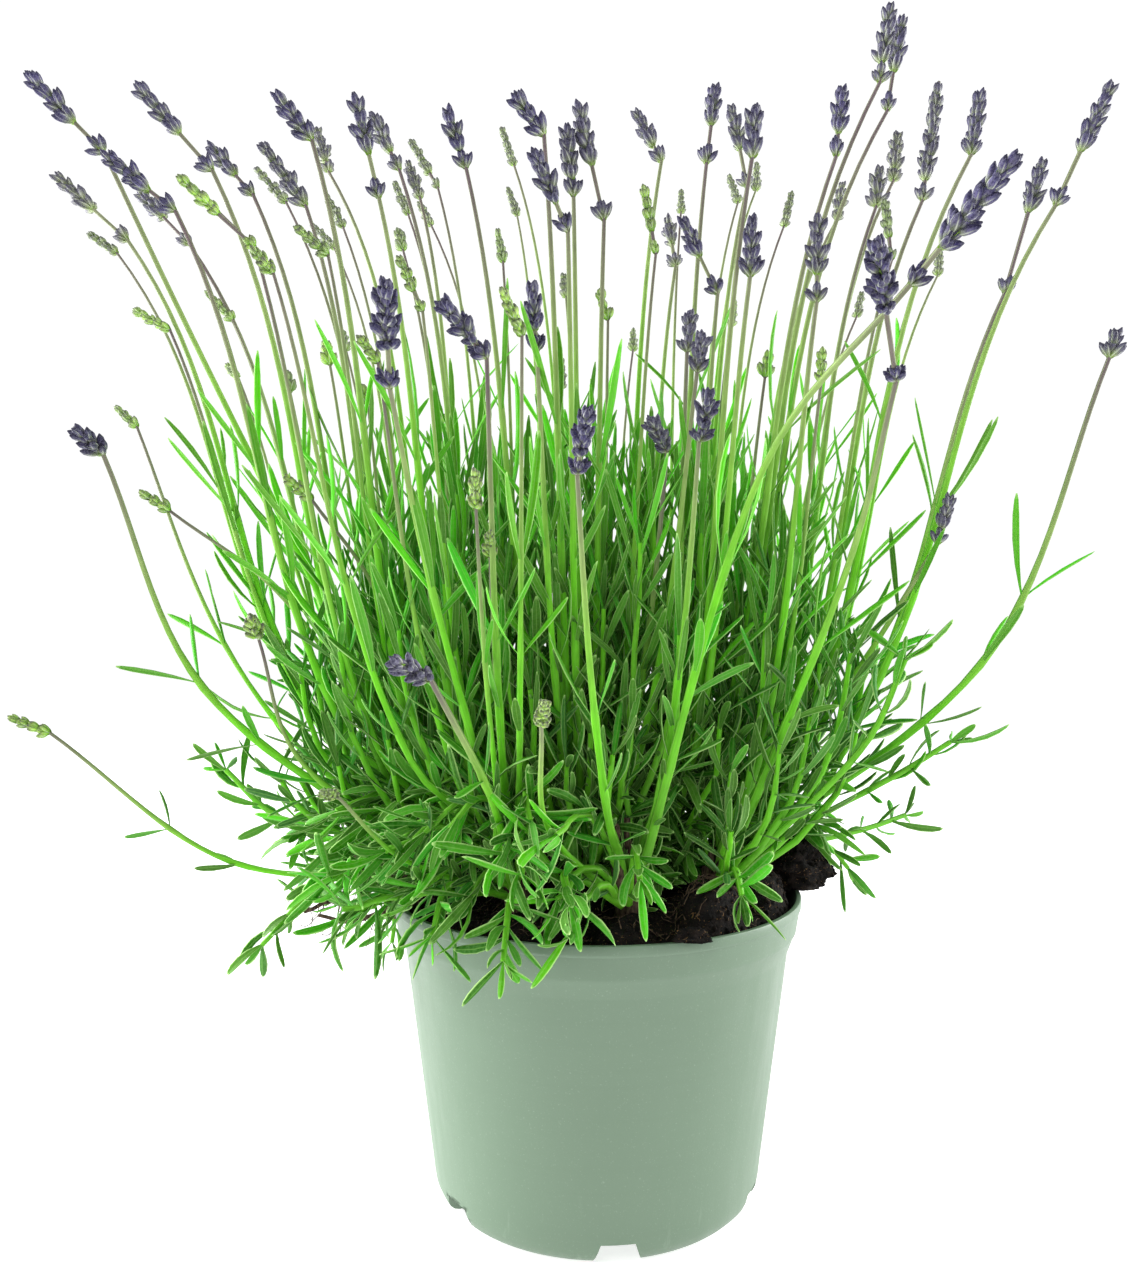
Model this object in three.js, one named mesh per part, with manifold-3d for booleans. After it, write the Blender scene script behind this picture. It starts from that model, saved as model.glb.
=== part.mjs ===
// Potted lavender in a plastic nursery pot. Millimetres, +Z up, origin at the middle of the pot's foot.
// Every flower head of the plant is listed where it shows in a photograph of it, and is set at its
// real place along that sight line. Leaves and leafy shoots follow by rule.
import * as THREE from "three";
import { mergeVertices } from "three/addons/utils/BufferGeometryUtils.js";
import Module from "manifold-3d";

const wasm = await Module();
wasm.setup();

// ---------------------------------------------------------------- driving dimensions
const seam = 0.3; // clear gap between pieces that touch
const pot = { rim: 86, height: 123, waist: 80.5, shoulder: 68.5, foot: 62, wall: 1.5, sides: 26 };
const collar = { lip: 4, lipDepth: 0.6, band: 13, step: 8, taper: 2 };
const notch = { count: 6, turn: 5.5, height: 9, halfFoot: 9.6, halfTop: 6.4, inner: 50, hole: 3 };
const soil = { gap: 1, edge: 117, mound: 16, lump: 1.1, sides: 18, holeDepth: 9 };
const crown = {
  outer: 8, outerReach: 56, inner: 4, innerReach: 26, turn: 11, // places, in two rings and a middle one
  stub: 3, neck: 2.4, knob: 6.8, rise: 7, depth: 7.5, sunk: 2.5, // the short woody base in its hole
  share: 3.4, fan: 0.012,
};
const stem = { foot: 1.25, top: 0.85, sprigTop: 0.7, start: 11, height: 337 };
const head = {
  whorl: 7.4, radius: 4.7, young: 3.7, waist: 1.9, core: 1, budLift: 0.9, zigzag: 0.28, lean: 0.15,
  lowMiddle: 3.6, lowEnd: 5, // the separate lower whorl, from its foot
};
const leaf = {
  length: 45, half: 2.1, keel: 1.1, widest: 0.3, shoulder: 0.84, taper: 0.8,
  lowest: 145, spacing: 150, pitch: 0.9, lift: 0.55, roll: 1.1, gap: 0.5, attempts: 6, share: 0.42,
  offRim: 2.2, offGround: 12,
};
const sprig = { size: 0.62, pitch: 0.5, lift: 0.15 };
const palette = {
  plastic: 0x93b397,
  peat: 0x1d1512,
  bark: 0x4b3529,
  foliage: 0x4fa62c,
  bloom: 0x4a4670,
};

// The photograph: 1143 x 1262 pixels, level camera. Eye place in millimetres from the pot's foot.
const photo = { middle: 571.5, horizon: 631, focal: 1050, eyeHeight: 232.5, eyeBack: 450, eyeAside: -10.5 };

// Flowering stems, read from the photograph: head's tip x, y and foot x, y in pixels, distance from
// the eye in millimetres, colour, drop from the head to a separate lower whorl in millimetres (0 for
// none), and where the stem bows, the pixel that its middle passes.
const floweringStems = [
  [25, 72, 75, 123, 400, "violet", 14, 196, 345],
  [134, 82, 180, 134, 405, "violet", 17],
  [102, 153, 150, 191, 400, "violet", 11],
  [53, 173, 94, 210, 470, "violet", 22],
  [85, 231, 117, 253, 490, "green", 0],
  [138, 191, 164, 218, 500, "violet", 22],
  [207, 144, 236, 176, 450, "violet", 11],
  [173, 171, 219, 214, 365, "green", 16],
  [250, 247, 273, 272, 370, "green", 0],
  [257, 138, 306, 206, 450, "violet", 0],
  [252, 164, 286, 202, 490, "green", 0],
  [274, 92, 312, 140, 388, "violet", 0],
  [316, 126, 326, 162, 560, "violet", 9],
  [324, 191, 343, 227, 510, "green", 0],
  [293, 224, 328, 255, 400, "green", 0],
  [310, 222, 334, 248, 570, "green", 0],
  [355, 95, 369, 155, 385, "violet", 15],
  [371, 112, 391, 153, 465, "violet", 9],
  [408, 136, 430, 174, 500, "green", 9],
  [407, 160, 420, 198, 560, "violet", 0],
  [393, 178, 408, 214, 520, "green", 0],
  [417, 200, 431, 225, 590, "green", 0],
  [399, 232, 403, 250, 480, "green", 0],
  [397, 252, 414, 291, 385, "green", 8],
  [446, 108, 461, 153, 410, "violet", 6],
  [500, 124, 514, 165, 560, "green", 0],
  [512, 91, 544, 135, 380, "violet", 0],
  [534, 150, 556, 203, 370, "violet", 11],
  [507, 185, 517, 215, 590, "green", 0],
  [567, 125, 572, 180, 400, "violet", 6],
  [577, 98, 592, 166, 400, "violet", 20],
  [635, 110, 654, 147, 475, "violet", 8],
  [643, 181, 652, 232, 405, "green", 8],
  [681, 188, 681, 212, 600, "green", 0],
  [681, 217, 700, 257, 420, "violet", 16],
  [667, 216, 672, 245, 500, "grey", 13],
  [716, 85, 711, 126, 435, "violet", 15],
  [731, 104, 740, 150, 490, "violet", 20],
  [755, 107, 752, 158, 380, "violet", 0],
  [757, 160, 756, 190, 600, "green", 0],
  [728, 173, 738, 202, 590, "green", 0],
  [752, 215, 750, 277, 385, "violet", 0],
  [793, 188, 784, 226, 560, "green", 0],
  [842, 88, 838, 134, 410, "violet", 8],
  [842, 182, 838, 213, 560, "violet", 6],
  [818, 214, 817, 275, 398, "violet", 10],
  [890, 3, 882, 64, 420, "violet", 7],
  [902, 14, 893, 73, 445, "violet", 16],
  [940, 75, 925, 181, 460, "violet", 9],
  [980, 88, 971, 155, 430, "violet", 0],
  [1114, 78, 1080, 152, 420, "violet", 22],
  [1044, 158, 1028, 213, 450, "violet", 36],
  [1024, 146, 940, 248, 290, "violet", 13, 770, 455],
  [875, 235, 886, 311, 300, "violet", 30, 850, 560],
  [880, 166, 876, 207, 480, "violet", 0],
  [897, 131, 894, 172, 520, "violet", 6],
  [884, 198, 889, 238, 440, "green", 9],
  [940, 250, 938, 275, 530, "green", 0],
  [862, 291, 857, 316, 560, "green", 0],
  [385, 278, 388, 348, 310, "violet", 16, 425, 560],
  [440, 300, 474, 342, 350, "violet", 8],
  [500, 285, 522, 335, 345, "green", 0],
  [531, 283, 535, 330, 375, "violet", 8],
  [358, 335, 378, 362, 380, "green", 0],
  [325, 342, 330, 365, 460, "green", 0],
  [343, 330, 346, 350, 530, "green", 0],
  [203, 288, 233, 320, 490, "green", 0],
  [130, 308, 170, 330, 460, "green", 0],
  [225, 364, 238, 377, 520, "green", 0],
  [283, 475, 312, 500, 400, "green", 0, 375, 590],
  [475, 466, 476, 508, 355, "green", 0],
  [489, 530, 490, 556, 370, "green", 0],
  [587, 407, 580, 455, 330, "violet", 9],
  [690, 310, 687, 352, 420, "grey", 0],
  [703, 333, 697, 372, 395, "grey", 0],
  [710, 393, 702, 428, 370, "violet", 6],
  [650, 418, 662, 442, 400, "grey", 5],
  [598, 288, 608, 320, 430, "green", 0],
  [633, 328, 633, 350, 580, "green", 0],
  [735, 298, 731, 326, 560, "green", 0],
  [768, 355, 765, 377, 440, "green", 0],
  [822, 345, 821, 383, 410, "green", 0],
  [562, 357, 562, 388, 560, "green", 0],
  [1117, 333, 1109, 358, 430, "violet", 0, 988, 655],
  [951, 495, 941, 530, 430, "grey", 6, 868, 655],
  [78, 430, 103, 454, 370, "violet", 0, 205, 690],
  [114, 405, 137, 427, 480, "green", 0],
  [137, 490, 170, 511, 420, "green", 0, 285, 600],
  [3, 715, 50, 733, 430, "green", 0, 232, 862],
  [250, 617, 258, 637, 380, "green", 0, 300, 760],
  [387, 660, 430, 678, 330, "grey", 0, 492, 800],
  [545, 700, 541, 724, 330, "green", 0, 549, 830],
  [321, 793, 336, 795, 350, "green", 0, 402, 858],
  [497, 228, 503, 262, 470, "green", 0],
  [563, 272, 566, 297, 520, "green", 0],
  [438, 405, 440, 425, 470, "green", 0],
  [363, 392, 368, 405, 450, "green", 0],
  [287, 375, 290, 392, 470, "green", 0],
  [378, 520, 382, 535, 430, "green", 0],
];

// Leafy sprigs that arch over the rim or fill the bush's edge: the pixel of the sprig's end and its
// distance from the eye, the pixel and distance of a place on the way, and the number of leaf pairs.
const leafySprigs = [
  [503, 962, 352, 510, 900, 375, 3],
  [572, 905, 352, 566, 872, 372, 2],
  [432, 936, 372, 450, 885, 385, 2],
  [742, 896, 380, 735, 870, 390, 2],
  [262, 945, 420, 330, 880, 425, 3],
  [392, 942, 470, 408, 858, 468, 2],
  [848, 868, 450, 825, 845, 450, 2],
  [950, 742, 440, 905, 770, 440, 2],
  [905, 815, 500, 868, 828, 490, 2],
  [640, 880, 362, 634, 850, 380, 2],
  [226, 770, 470, 275, 815, 465, 2],
  [905, 660, 400, 868, 740, 400, 2],
];

// Crooked brown twigs that lie over the left of the rim, one forked off the other: the pixels that
// each passes, all at one distance from the eye.
const brownTwigs = [
  [[432, 868], [402, 872], [368, 902], [330, 905], [304, 912]],
  [[402, 872], [380, 866], [352, 872]],
];
const twig = { far: 425, root: [-66, -18], thick: 1.8, thin: 0.9, depth: 6 };

// ---------------------------------------------------------------- shared geometry
const { Vector3 } = THREE;

// The same small random number, 0 to 1, for the same two whole numbers.
function draw(row, item) {
  const wave = Math.sin(row * 12.9898 + item * 78.233) * 43758.5453;
  return wave - Math.floor(wave);
}

// The place that a pixel of the photograph shows, at a distance from the eye measured along +Y.
function sight(x, y, far) {
  const scale = far / photo.focal;
  const aside = photo.eyeAside + (x - photo.middle) * scale;
  return new Vector3(aside, far - photo.eyeBack, photo.eyeHeight + (photo.horizon - y) * scale);
}

// Two directions square to an axis, and to each other.
function across(axis) {
  const start = Math.abs(axis.y) < 0.9 ? new Vector3(0, 1, 0) : new Vector3(1, 0, 0);
  const right = start.cross(axis).normalize();
  return [right, axis.clone().cross(right).normalize()];
}

// A closed body through rings with the same number of points, with an apex at each end.
function loft(first, rings, last) {
  const sides = rings[0].length;
  const corners = [first, ...rings.flat(), last];
  const end = corners.length - 1;
  const faces = [];
  for (let i = 0; i < sides; i++) {
    const next = (i + 1) % sides;
    faces.push(0, 1 + next, 1 + i);
    for (let k = 0; k < rings.length - 1; k++) {
      const low = 1 + k * sides;
      const high = low + sides;
      faces.push(low + i, low + next, high + next);
      faces.push(low + i, high + next, high + i);
    }
    faces.push(end, end - sides + i, end - sides + next);
  }
  const numbers = corners.flatMap((corner) => corner.toArray());
  const geometry = new THREE.BufferGeometry();
  geometry.setAttribute("position", new THREE.Float32BufferAttribute(numbers, 3));
  geometry.setIndex(faces);
  return geometry;
}

function ring(centre, axis, sides, radius, turn = 0, zigzag = 0) {
  const [right, front] = across(axis);
  return Array.from({ length: sides }, (_, i) => {
    const angle = turn + (i * 2 * Math.PI) / sides;
    const odd = zigzag && i % 2 ? 1 - zigzag : 1;
    const lift = zigzag ? (i % 2 ? -0.5 : 1) * head.budLift : 0;
    return centre.clone()
      .addScaledVector(right, Math.cos(angle) * radius * odd)
      .addScaledVector(front, Math.sin(angle) * radius * odd)
      .addScaledVector(axis, lift);
  });
}

function solid(geometry) {
  const bare = geometry.clone();
  bare.deleteAttribute("normal");
  bare.deleteAttribute("uv");
  const merged = mergeVertices(bare, 1e-4);
  const corners = merged.index.array;
  const faces = [];
  for (let i = 0; i < corners.length; i += 3) {
    const [a, b, c] = corners.slice(i, i + 3);
    if (a !== b && b !== c && c !== a) faces.push(a, b, c);
  }
  return new wasm.Manifold(new wasm.Mesh({
    numProp: 3,
    vertProperties: new Float32Array(merged.attributes.position.array),
    triVerts: new Uint32Array(faces),
  }));
}

function surface(body) {
  const mesh = body.getMesh();
  const geometry = new THREE.BufferGeometry();
  geometry.setAttribute("position", new THREE.BufferAttribute(mesh.vertProperties, 3));
  geometry.setIndex(new THREE.BufferAttribute(mesh.triVerts, 1));
  return geometry;
}

const plant = new THREE.Group();

function add(name, geometry, color, roughness) {
  const material = new THREE.MeshStandardMaterial({ color, roughness, metalness: 0 });
  const mesh = new THREE.Mesh(geometry, material);
  mesh.name = name;
  plant.add(mesh);
}

// ---------------------------------------------------------------- clearances
// What is already placed, as straight rods: two ends, a radius and the name of its piece.
const rods = [];

function rodGap(a, b) {
  const along = b.end.clone().sub(b.start);
  let best = Infinity;
  const steps = 6;
  for (let k = 0; k <= steps; k++) {
    const point = a.start.clone().lerp(a.end, k / steps);
    const t = THREE.MathUtils.clamp(point.clone().sub(b.start).dot(along) / along.lengthSq(), 0, 1);
    best = Math.min(best, point.distanceTo(b.start.clone().addScaledVector(along, t)));
  }
  return best - a.radius - b.radius;
}

function rodsAlong(points, radius, owner) {
  return points.slice(1).map((end, k) => ({ start: points[k], end, radius, owner }));
}

function isClear(fresh, owner, gap) {
  return fresh.every((rod) => rods.every((other) => {
    if (rod.start.distanceTo(other.start) > 90) return true;
    return rodGap(rod, other) > (other.owner === owner ? 0 : gap);
  }));
}

// ---------------------------------------------------------------- pot
// Turns a shape made along +Y, as lathes and extrusions are, to stand along +Z.
function upright(geometry) {
  return geometry.rotateX(Math.PI / 2);
}

function lathe(profile, sides) {
  const points = profile.map(([radius, z]) => new THREE.Vector2(radius, z));
  return solid(upright(new THREE.LatheGeometry(points, sides)));
}

// The wall's outside: foot, curved shoulder, straight taper, step, collar and the thin lip line.
function potOutside() {
  const bandFoot = pot.height - collar.band;
  return [
    [0, 0], [pot.foot, 0], [pot.foot + 4.2, 3], [pot.shoulder, 9],
    [pot.waist, bandFoot - collar.step], [pot.rim - collar.taper, bandFoot],
    [pot.rim - collar.lipDepth, pot.height - collar.lip], [pot.rim, pot.height - collar.lip + 0.7],
    [pot.rim, pot.height],
  ];
}

// The wall's inside, drawn in by the wall and a further gap, from the top down to the axis.
function potInside(gap) {
  const thick = pot.wall + gap;
  const bandFoot = pot.height - collar.band;
  return [
    [pot.rim - thick - 0.6, pot.height], [pot.rim - thick - collar.taper, bandFoot + 0.4],
    [pot.waist - thick, bandFoot - collar.step - 0.5], [pot.shoulder - thick, 9.5],
    [pot.foot + 2.4 - thick, 3], [pot.foot - thick, thick], [0, thick],
  ];
}

// A low wedge from the middle of the foot out through its edge, larger all round by a margin.
function notchWedge(angle, margin) {
  const { height, halfFoot, halfTop, inner } = notch;
  const face = new THREE.Shape([
    new THREE.Vector2(-halfFoot - margin, -1), new THREE.Vector2(halfFoot + margin, -1),
    new THREE.Vector2(halfTop + margin, height + margin),
    new THREE.Vector2(-halfTop - margin, height + margin),
  ]);
  const wedge = new THREE.ExtrudeGeometry(face, { depth: pot.rim - inner + margin, bevelEnabled: false });
  return solid(upright(wedge).translate(0, margin - inner, 0)).rotate([0, 0, angle]);
}

function notchHole(angle) {
  const hole = new THREE.CylinderGeometry(notch.hole, notch.hole, 3 * pot.wall, 5);
  return solid(upright(hole).translate(0, -notch.inner - 5, notch.height)).rotate([0, 0, angle]);
}

const notchAngles = Array.from({ length: notch.count }, (_, i) => notch.turn + (i * 360) / notch.count);

function potBody() {
  const outside = potOutside();
  const filled = lathe([...outside, [0, pot.height]], pot.sides);
  let body = lathe([...outside, ...potInside(0)], pot.sides);
  for (const angle of notchAngles) {
    body = body.add(notchWedge(angle, pot.wall).intersect(filled));
  }
  for (const angle of notchAngles) {
    body = body.subtract(notchWedge(angle, 0)).subtract(notchHole(angle));
  }
  return body;
}

// ---------------------------------------------------------------- soil
// Height of the mound at a place: a low dome with lumps on it.
function soilTop(x, y) {
  const dome = 1 - (x * x + y * y) / (pot.rim * pot.rim);
  const lumps = Math.sin(x * 0.19 + 1.3) * Math.cos(y * 0.16 + 0.4) + 0.5 * Math.sin(x * 0.41 - y * 0.33);
  return soil.edge + soil.mound * dome + soil.lump * lumps * Math.min(1, 2 * dome + 0.2);
}

function around(count, reach, turn) {
  return Array.from({ length: count }, (_, i) => [reach, turn + (i * 360) / count]);
}

// Where the plant's stems come out of the soil in bunches.
const crowns = [
  ...around(crown.outer, crown.outerReach, crown.turn),
  ...around(crown.inner, crown.innerReach, -crown.turn),
  [0, 0],
].map(([reach, degrees]) => {
  const angle = THREE.MathUtils.degToRad(degrees);
  const x = reach * Math.cos(angle);
  const y = reach * Math.sin(angle);
  return new Vector3(x, y, soilTop(x, y));
});

function soilBody() {
  const inside = potInside(soil.gap).filter(([, z]) => z < soil.edge - 6);
  const brim = pot.rim - pot.wall - soil.gap - 1.4;
  const rows = [0.72, 0.36].map((part) => [part * brim, soil.edge]);
  const profile = [
    ...inside.reverse(), [brim, soil.edge - 2], [brim - 2.5, soil.edge], ...rows, [0, soil.edge],
  ];
  let body = lathe(profile, soil.sides).warp((corner) => {
    if (corner[2] > soil.edge - 1) corner[2] = soilTop(corner[0], corner[1]);
  });
  for (const angle of notchAngles) {
    body = body.subtract(notchWedge(angle, pot.wall + soil.gap));
  }
  const holes = crowns.map((place) => [place, crown.stub]);
  holes.push([new Vector3(...twig.root, soilTop(...twig.root)), twig.thick]);
  for (const [place, radius] of holes) {
    const corner = radius / Math.cos(Math.PI / 6) + seam;
    const hole = new THREE.CylinderGeometry(corner, corner, 2 * soil.holeDepth, 6);
    body = body.subtract(solid(upright(hole).translate(place.x, place.y, place.z)));
  }
  return body;
}

// ---------------------------------------------------------------- stems and heads
// How far along its sideways way a stem is at a height: out over the rim, up, and out again.
function spread(z) {
  const u = THREE.MathUtils.clamp((z - soil.edge - stem.start) / stem.height, 0.02, 1.3);
  return 2.05 * u - 3.2 * u * u + 2.15 * u * u * u;
}

function headPlaces(row) {
  const [tipX, tipY, footX, footY, far] = row;
  const foot = sight(footX, footY, far);
  return [foot, sight(tipX, tipY, far + head.lean * (far - photo.eyeBack))];
}

// The crown that a stem grows from: the one whose share of the plant's top its head is over.
function crownOf(top) {
  const reach = spread(top.z);
  const far = (place) => {
    const x = place.x + (top.x - place.x) / reach - crown.share * place.x;
    const y = place.y + (top.y - place.y) / reach - crown.share * place.y;
    return Math.hypot(x, y);
  };
  return crowns.reduce((best, place) => (far(place) < far(best) ? place : best));
}

// A stem's middle line, from inside its crown's knob to its top, bowed through a sighted pixel.
function stemLine(place, top, steps, bow) {
  const root = top.clone().sub(place).multiplyScalar(crown.fan / spread(top.z)).setZ(0);
  root.clampLength(0, crown.knob - 1).add(place);
  root.z += crown.rise - crown.sunk;
  if (bow) {
    const via = sight(bow[0], bow[1], bow[2] ?? (place.y + top.y) / 2 + photo.eyeBack);
    const curve = new THREE.CatmullRomCurve3([root, via, top], false, "centripetal");
    return curve.getSpacedPoints(steps);
  }
  const full = spread(top.z);
  return Array.from({ length: steps + 1 }, (_, k) => {
    const z = THREE.MathUtils.lerp(root.z, top.z, k / steps);
    const part = k === 0 ? 0 : spread(z) / full;
    return new Vector3(
      THREE.MathUtils.lerp(root.x, top.x, part), THREE.MathUtils.lerp(root.y, top.y, part), z);
  });
}

function tubeRings(points, thick, thin, sides) {
  const last = points.length - 1;
  return points.map((point, k) => {
    const axis = points[Math.min(k + 1, last)].clone().sub(points[Math.max(k - 1, 0)]).normalize();
    return ring(point, axis, sides, THREE.MathUtils.lerp(thick, thin, k / last));
  });
}

function tube(points, thick, thin, sides) {
  return solid(loft(points[0], tubeRings(points, thick, thin, sides), points.at(-1)));
}

// The rings of a head: buds one whorl above another on a thin core, each whorl turned half a bud,
// and where the head has one, a separate lower whorl.
function headRings(foot, tip, radius, sides, drop) {
  const axis = tip.clone().sub(foot);
  const length = axis.length();
  axis.normalize();
  const at = (along) => foot.clone().addScaledVector(axis, along);
  const whorls = Math.max(2, Math.round(length / head.whorl));
  const zigzag = sides === 6 ? head.zigzag : 0;
  const rings = [];
  if (drop) {
    rings.push(ring(at(-drop), axis, sides, head.core));
    rings.push(ring(at(head.lowMiddle - drop), axis, sides, radius * 0.9, 0, zigzag));
    rings.push(ring(at(head.lowEnd - drop), axis, sides, head.core));
  }
  for (let k = 0; k < whorls; k++) {
    const flare = radius * (1 - 0.4 * Math.pow(k / whorls, 2));
    const turn = (k * Math.PI) / sides;
    rings.push(ring(at((length * k) / whorls), axis, sides, k ? head.waist : head.core));
    rings.push(ring(at((length * (k + 0.6)) / whorls), axis, sides, flare, turn, zigzag));
  }
  return rings;
}

// ---------------------------------------------------------------- leaves
// A narrow leaf with a blunt tip: flat above, a keel below, rolled a little about its own length,
// and drooping towards its end.
function blade(root, direction, droop, length, roll) {
  const flat = new Vector3(-direction.y, direction.x, 0).normalize().applyAxisAngle(direction, roll);
  const under = direction.clone().cross(flat).normalize();
  const spot = (t) => {
    const centre = root.clone().addScaledVector(direction, length * t);
    centre.z -= droop * length * t * t;
    return centre;
  };
  const section = (t, part) => [
    spot(t).addScaledVector(flat, -leaf.half * part),
    spot(t).addScaledVector(under, leaf.keel * -part),
    spot(t).addScaledVector(flat, leaf.half * part),
  ];
  const rings = [section(leaf.widest, 1), section(leaf.shoulder, leaf.taper)];
  return {
    body: () => solid(loft(spot(0), rings, spot(1))),
    rods: (owner) => rodsAlong([spot(0), spot(0.35), spot(0.7), spot(1)], leaf.half * 0.9, owner),
  };
}

// Two opposite leaves at a joint of a stem, turned and raised until they are clear of other pieces.
function leafPair(spray, joint, axis, row, level, length, pitch, lift) {
  const [right, front] = across(axis);
  for (let side = 0; side < 2; side++) {
    for (let attempt = 0; attempt < leaf.attempts; attempt++) {
      const item = level * 20 + attempt;
      const stray = (draw(row, item) - 0.5) * (0.8 + 0.5 * attempt);
      const turn = (level % 2) * (Math.PI / 2) + side * Math.PI + stray;
      const rise = pitch + (draw(row, item + 7) - 0.5) * 0.5;
      const direction = right.clone().multiplyScalar(Math.cos(turn) * Math.cos(rise))
        .addScaledVector(front, Math.sin(turn) * Math.cos(rise))
        .addScaledVector(axis, Math.sin(rise)).normalize();
      direction.z += lift;
      direction.normalize();
      const size = length * (0.8 + 0.4 * draw(row, item + 13));
      const roll = leaf.roll * (2 * draw(row, item + 5) - 1);
      const made = blade(joint, direction, 0.05 + 0.2 * draw(row, item + 3), size, roll);
      const fresh = made.rods(spray.name);
      if (isClear(fresh.slice(1), spray.name, leaf.gap) && clearOfPot(fresh)) {
        spray.parts.push(made.body());
        rods.push(...fresh);
        break;
      }
    }
  }
}

// Whether rods stay off the soil, the pot's wall and what the pot stands on.
function clearOfPot(fresh) {
  return fresh.every(({ start, end }) => [start, end, start.clone().lerp(end, 0.5)].every((place) => {
    const reach = Math.hypot(place.x, place.y);
    if (reach > pot.rim + leaf.half) return place.z > leaf.offGround;
    const wall = reach > pot.rim - 8 ? pot.height : 0;
    return place.z > Math.max(soilTop(place.x, place.y), wall) + leaf.offRim;
  }));
}

// ---------------------------------------------------------------- the plant
function numbered(stem, i) {
  return `${stem}_${String(i + 1).padStart(2, "0")}`;
}

const sprays = crowns.map((place, i) => ({ name: numbered("spray", i), place, parts: [] }));

for (const { place, parts } of sprays) {
  const axis = new Vector3(0, 0, 1);
  const over = (rise) => place.clone().setZ(place.z + rise);
  const rings = [
    ring(over(-crown.depth), axis, 6, crown.stub), ring(over(crown.neck), axis, 6, crown.stub),
    ring(over(crown.rise - 2), axis, 6, crown.knob), ring(over(crown.rise), axis, 6, 0.7 * crown.knob),
  ];
  parts.push(solid(loft(over(-crown.depth), rings, over(crown.rise))));
}

const bloomHeads = [];
const lines = [];
floweringStems.forEach((row, i) => {
  const [, , , , , hue, drop, ...bow] = row;
  const [foot, tip] = headPlaces(row);
  const axis = tip.clone().sub(foot).normalize();
  const ripe = hue === "violet";
  const top = foot.clone().addScaledVector(axis, -drop);
  const spray = sprays[crowns.indexOf(crownOf(top))];
  const end = ripe ? top.clone().addScaledVector(axis, -2 * seam) : top;
  const straightSteps = end.z > 330 ? 4 : 3;
  const line = stemLine(spray.place, end, bow.length ? 6 : straightSteps, bow.length ? bow : null);
  rods.push(...rodsAlong(line, stem.foot, spray.name));
  lines.push({ line, spray, row: i });
  const name = numbered("head", bloomHeads.length);
  const radius = hue === "green" ? head.young : head.radius;
  rods.push({ start: top, end: tip, radius, owner: ripe ? name : spray.name });
  if (ripe) {
    spray.parts.push(tube(line, stem.foot, stem.top, 3));
    bloomHeads.push({ name, body: solid(loft(top, headRings(foot, tip, radius, 6, drop), tip)) });
  } else {
    const stalk = tubeRings(line, stem.foot, stem.top, 3).slice(0, -1);
    const rings = [...stalk, ...headRings(foot, tip, radius, 3, drop)];
    spray.parts.push(solid(loft(line[0], rings, tip)));
  }
});

// Leaf pairs low on some of the flowering stems.
for (const { line, spray, row } of lines) {
  if (draw(row, 50) > leaf.share) continue;
  const height = leaf.lowest + leaf.spacing * draw(row, 90);
  const k = line.findIndex((place) => place.z > height);
  if (k < 1) continue;
  const part = (height - line[k - 1].z) / (line[k].z - line[k - 1].z);
  const joint = line[k - 1].clone().lerp(line[k], part);
  const axis = line[k].clone().sub(line[k - 1]).normalize();
  leafPair(spray, joint, axis, row, 0, leaf.length, leaf.pitch, leaf.lift);
}

// Sprigs that arch out to a sighted place, with leaf pairs along their outer half.
leafySprigs.forEach(([x, y, far, bowX, bowY, bowFar, pairs], i) => {
  const end = sight(x, y, far);
  const near = (a) => a.place.distanceTo(end);
  const spray = sprays.reduce((best, other) => (near(other) < near(best) ? other : best));
  const line = stemLine(spray.place, end, 6, [bowX, bowY, bowFar]);
  spray.parts.push(tube(line, stem.foot, stem.sprigTop, 3));
  rods.push(...rodsAlong(line, stem.foot, spray.name));
  for (let level = 0; level < pairs; level++) {
    const k = line.length - 1 - level;
    const axis = line[k].clone().sub(line[k - 1]).normalize();
    const joint = line[k].clone().addScaledVector(axis, -0.8);
    leafPair(spray, joint, axis, 200 + i, level, leaf.length * sprig.size, sprig.pitch, sprig.lift);
  }
});

function twigBody() {
  const root = new Vector3(twig.root[0], twig.root[1], soilTop(...twig.root) - twig.depth);
  const [main, fork] = brownTwigs.map((pixels) => pixels.map(([x, y]) => sight(x, y, twig.far)));
  const stalk = [root, root.clone().setZ(root.z + twig.depth + 5), ...main];
  return tube(stalk, twig.thick, twig.thin, 5).add(tube(fork, twig.thick * 0.6, twig.thin, 4));
}

add("pot", surface(potBody()), palette.plastic, 0.45);
add("soil", surface(soilBody()), palette.peat, 1);
add("brown_twigs", surface(twigBody()), palette.bark, 0.9);
for (const { name, parts } of sprays) {
  add(name, surface(parts.reduce((all, body) => all.add(body))), palette.foliage, 0.6);
}
for (const { name, body } of bloomHeads) add(name, surface(body), palette.bloom, 0.75);

export default plant;
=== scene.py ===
import math
import random

import bmesh
import bpy
from mathutils import Matrix, Vector, noise


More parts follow.
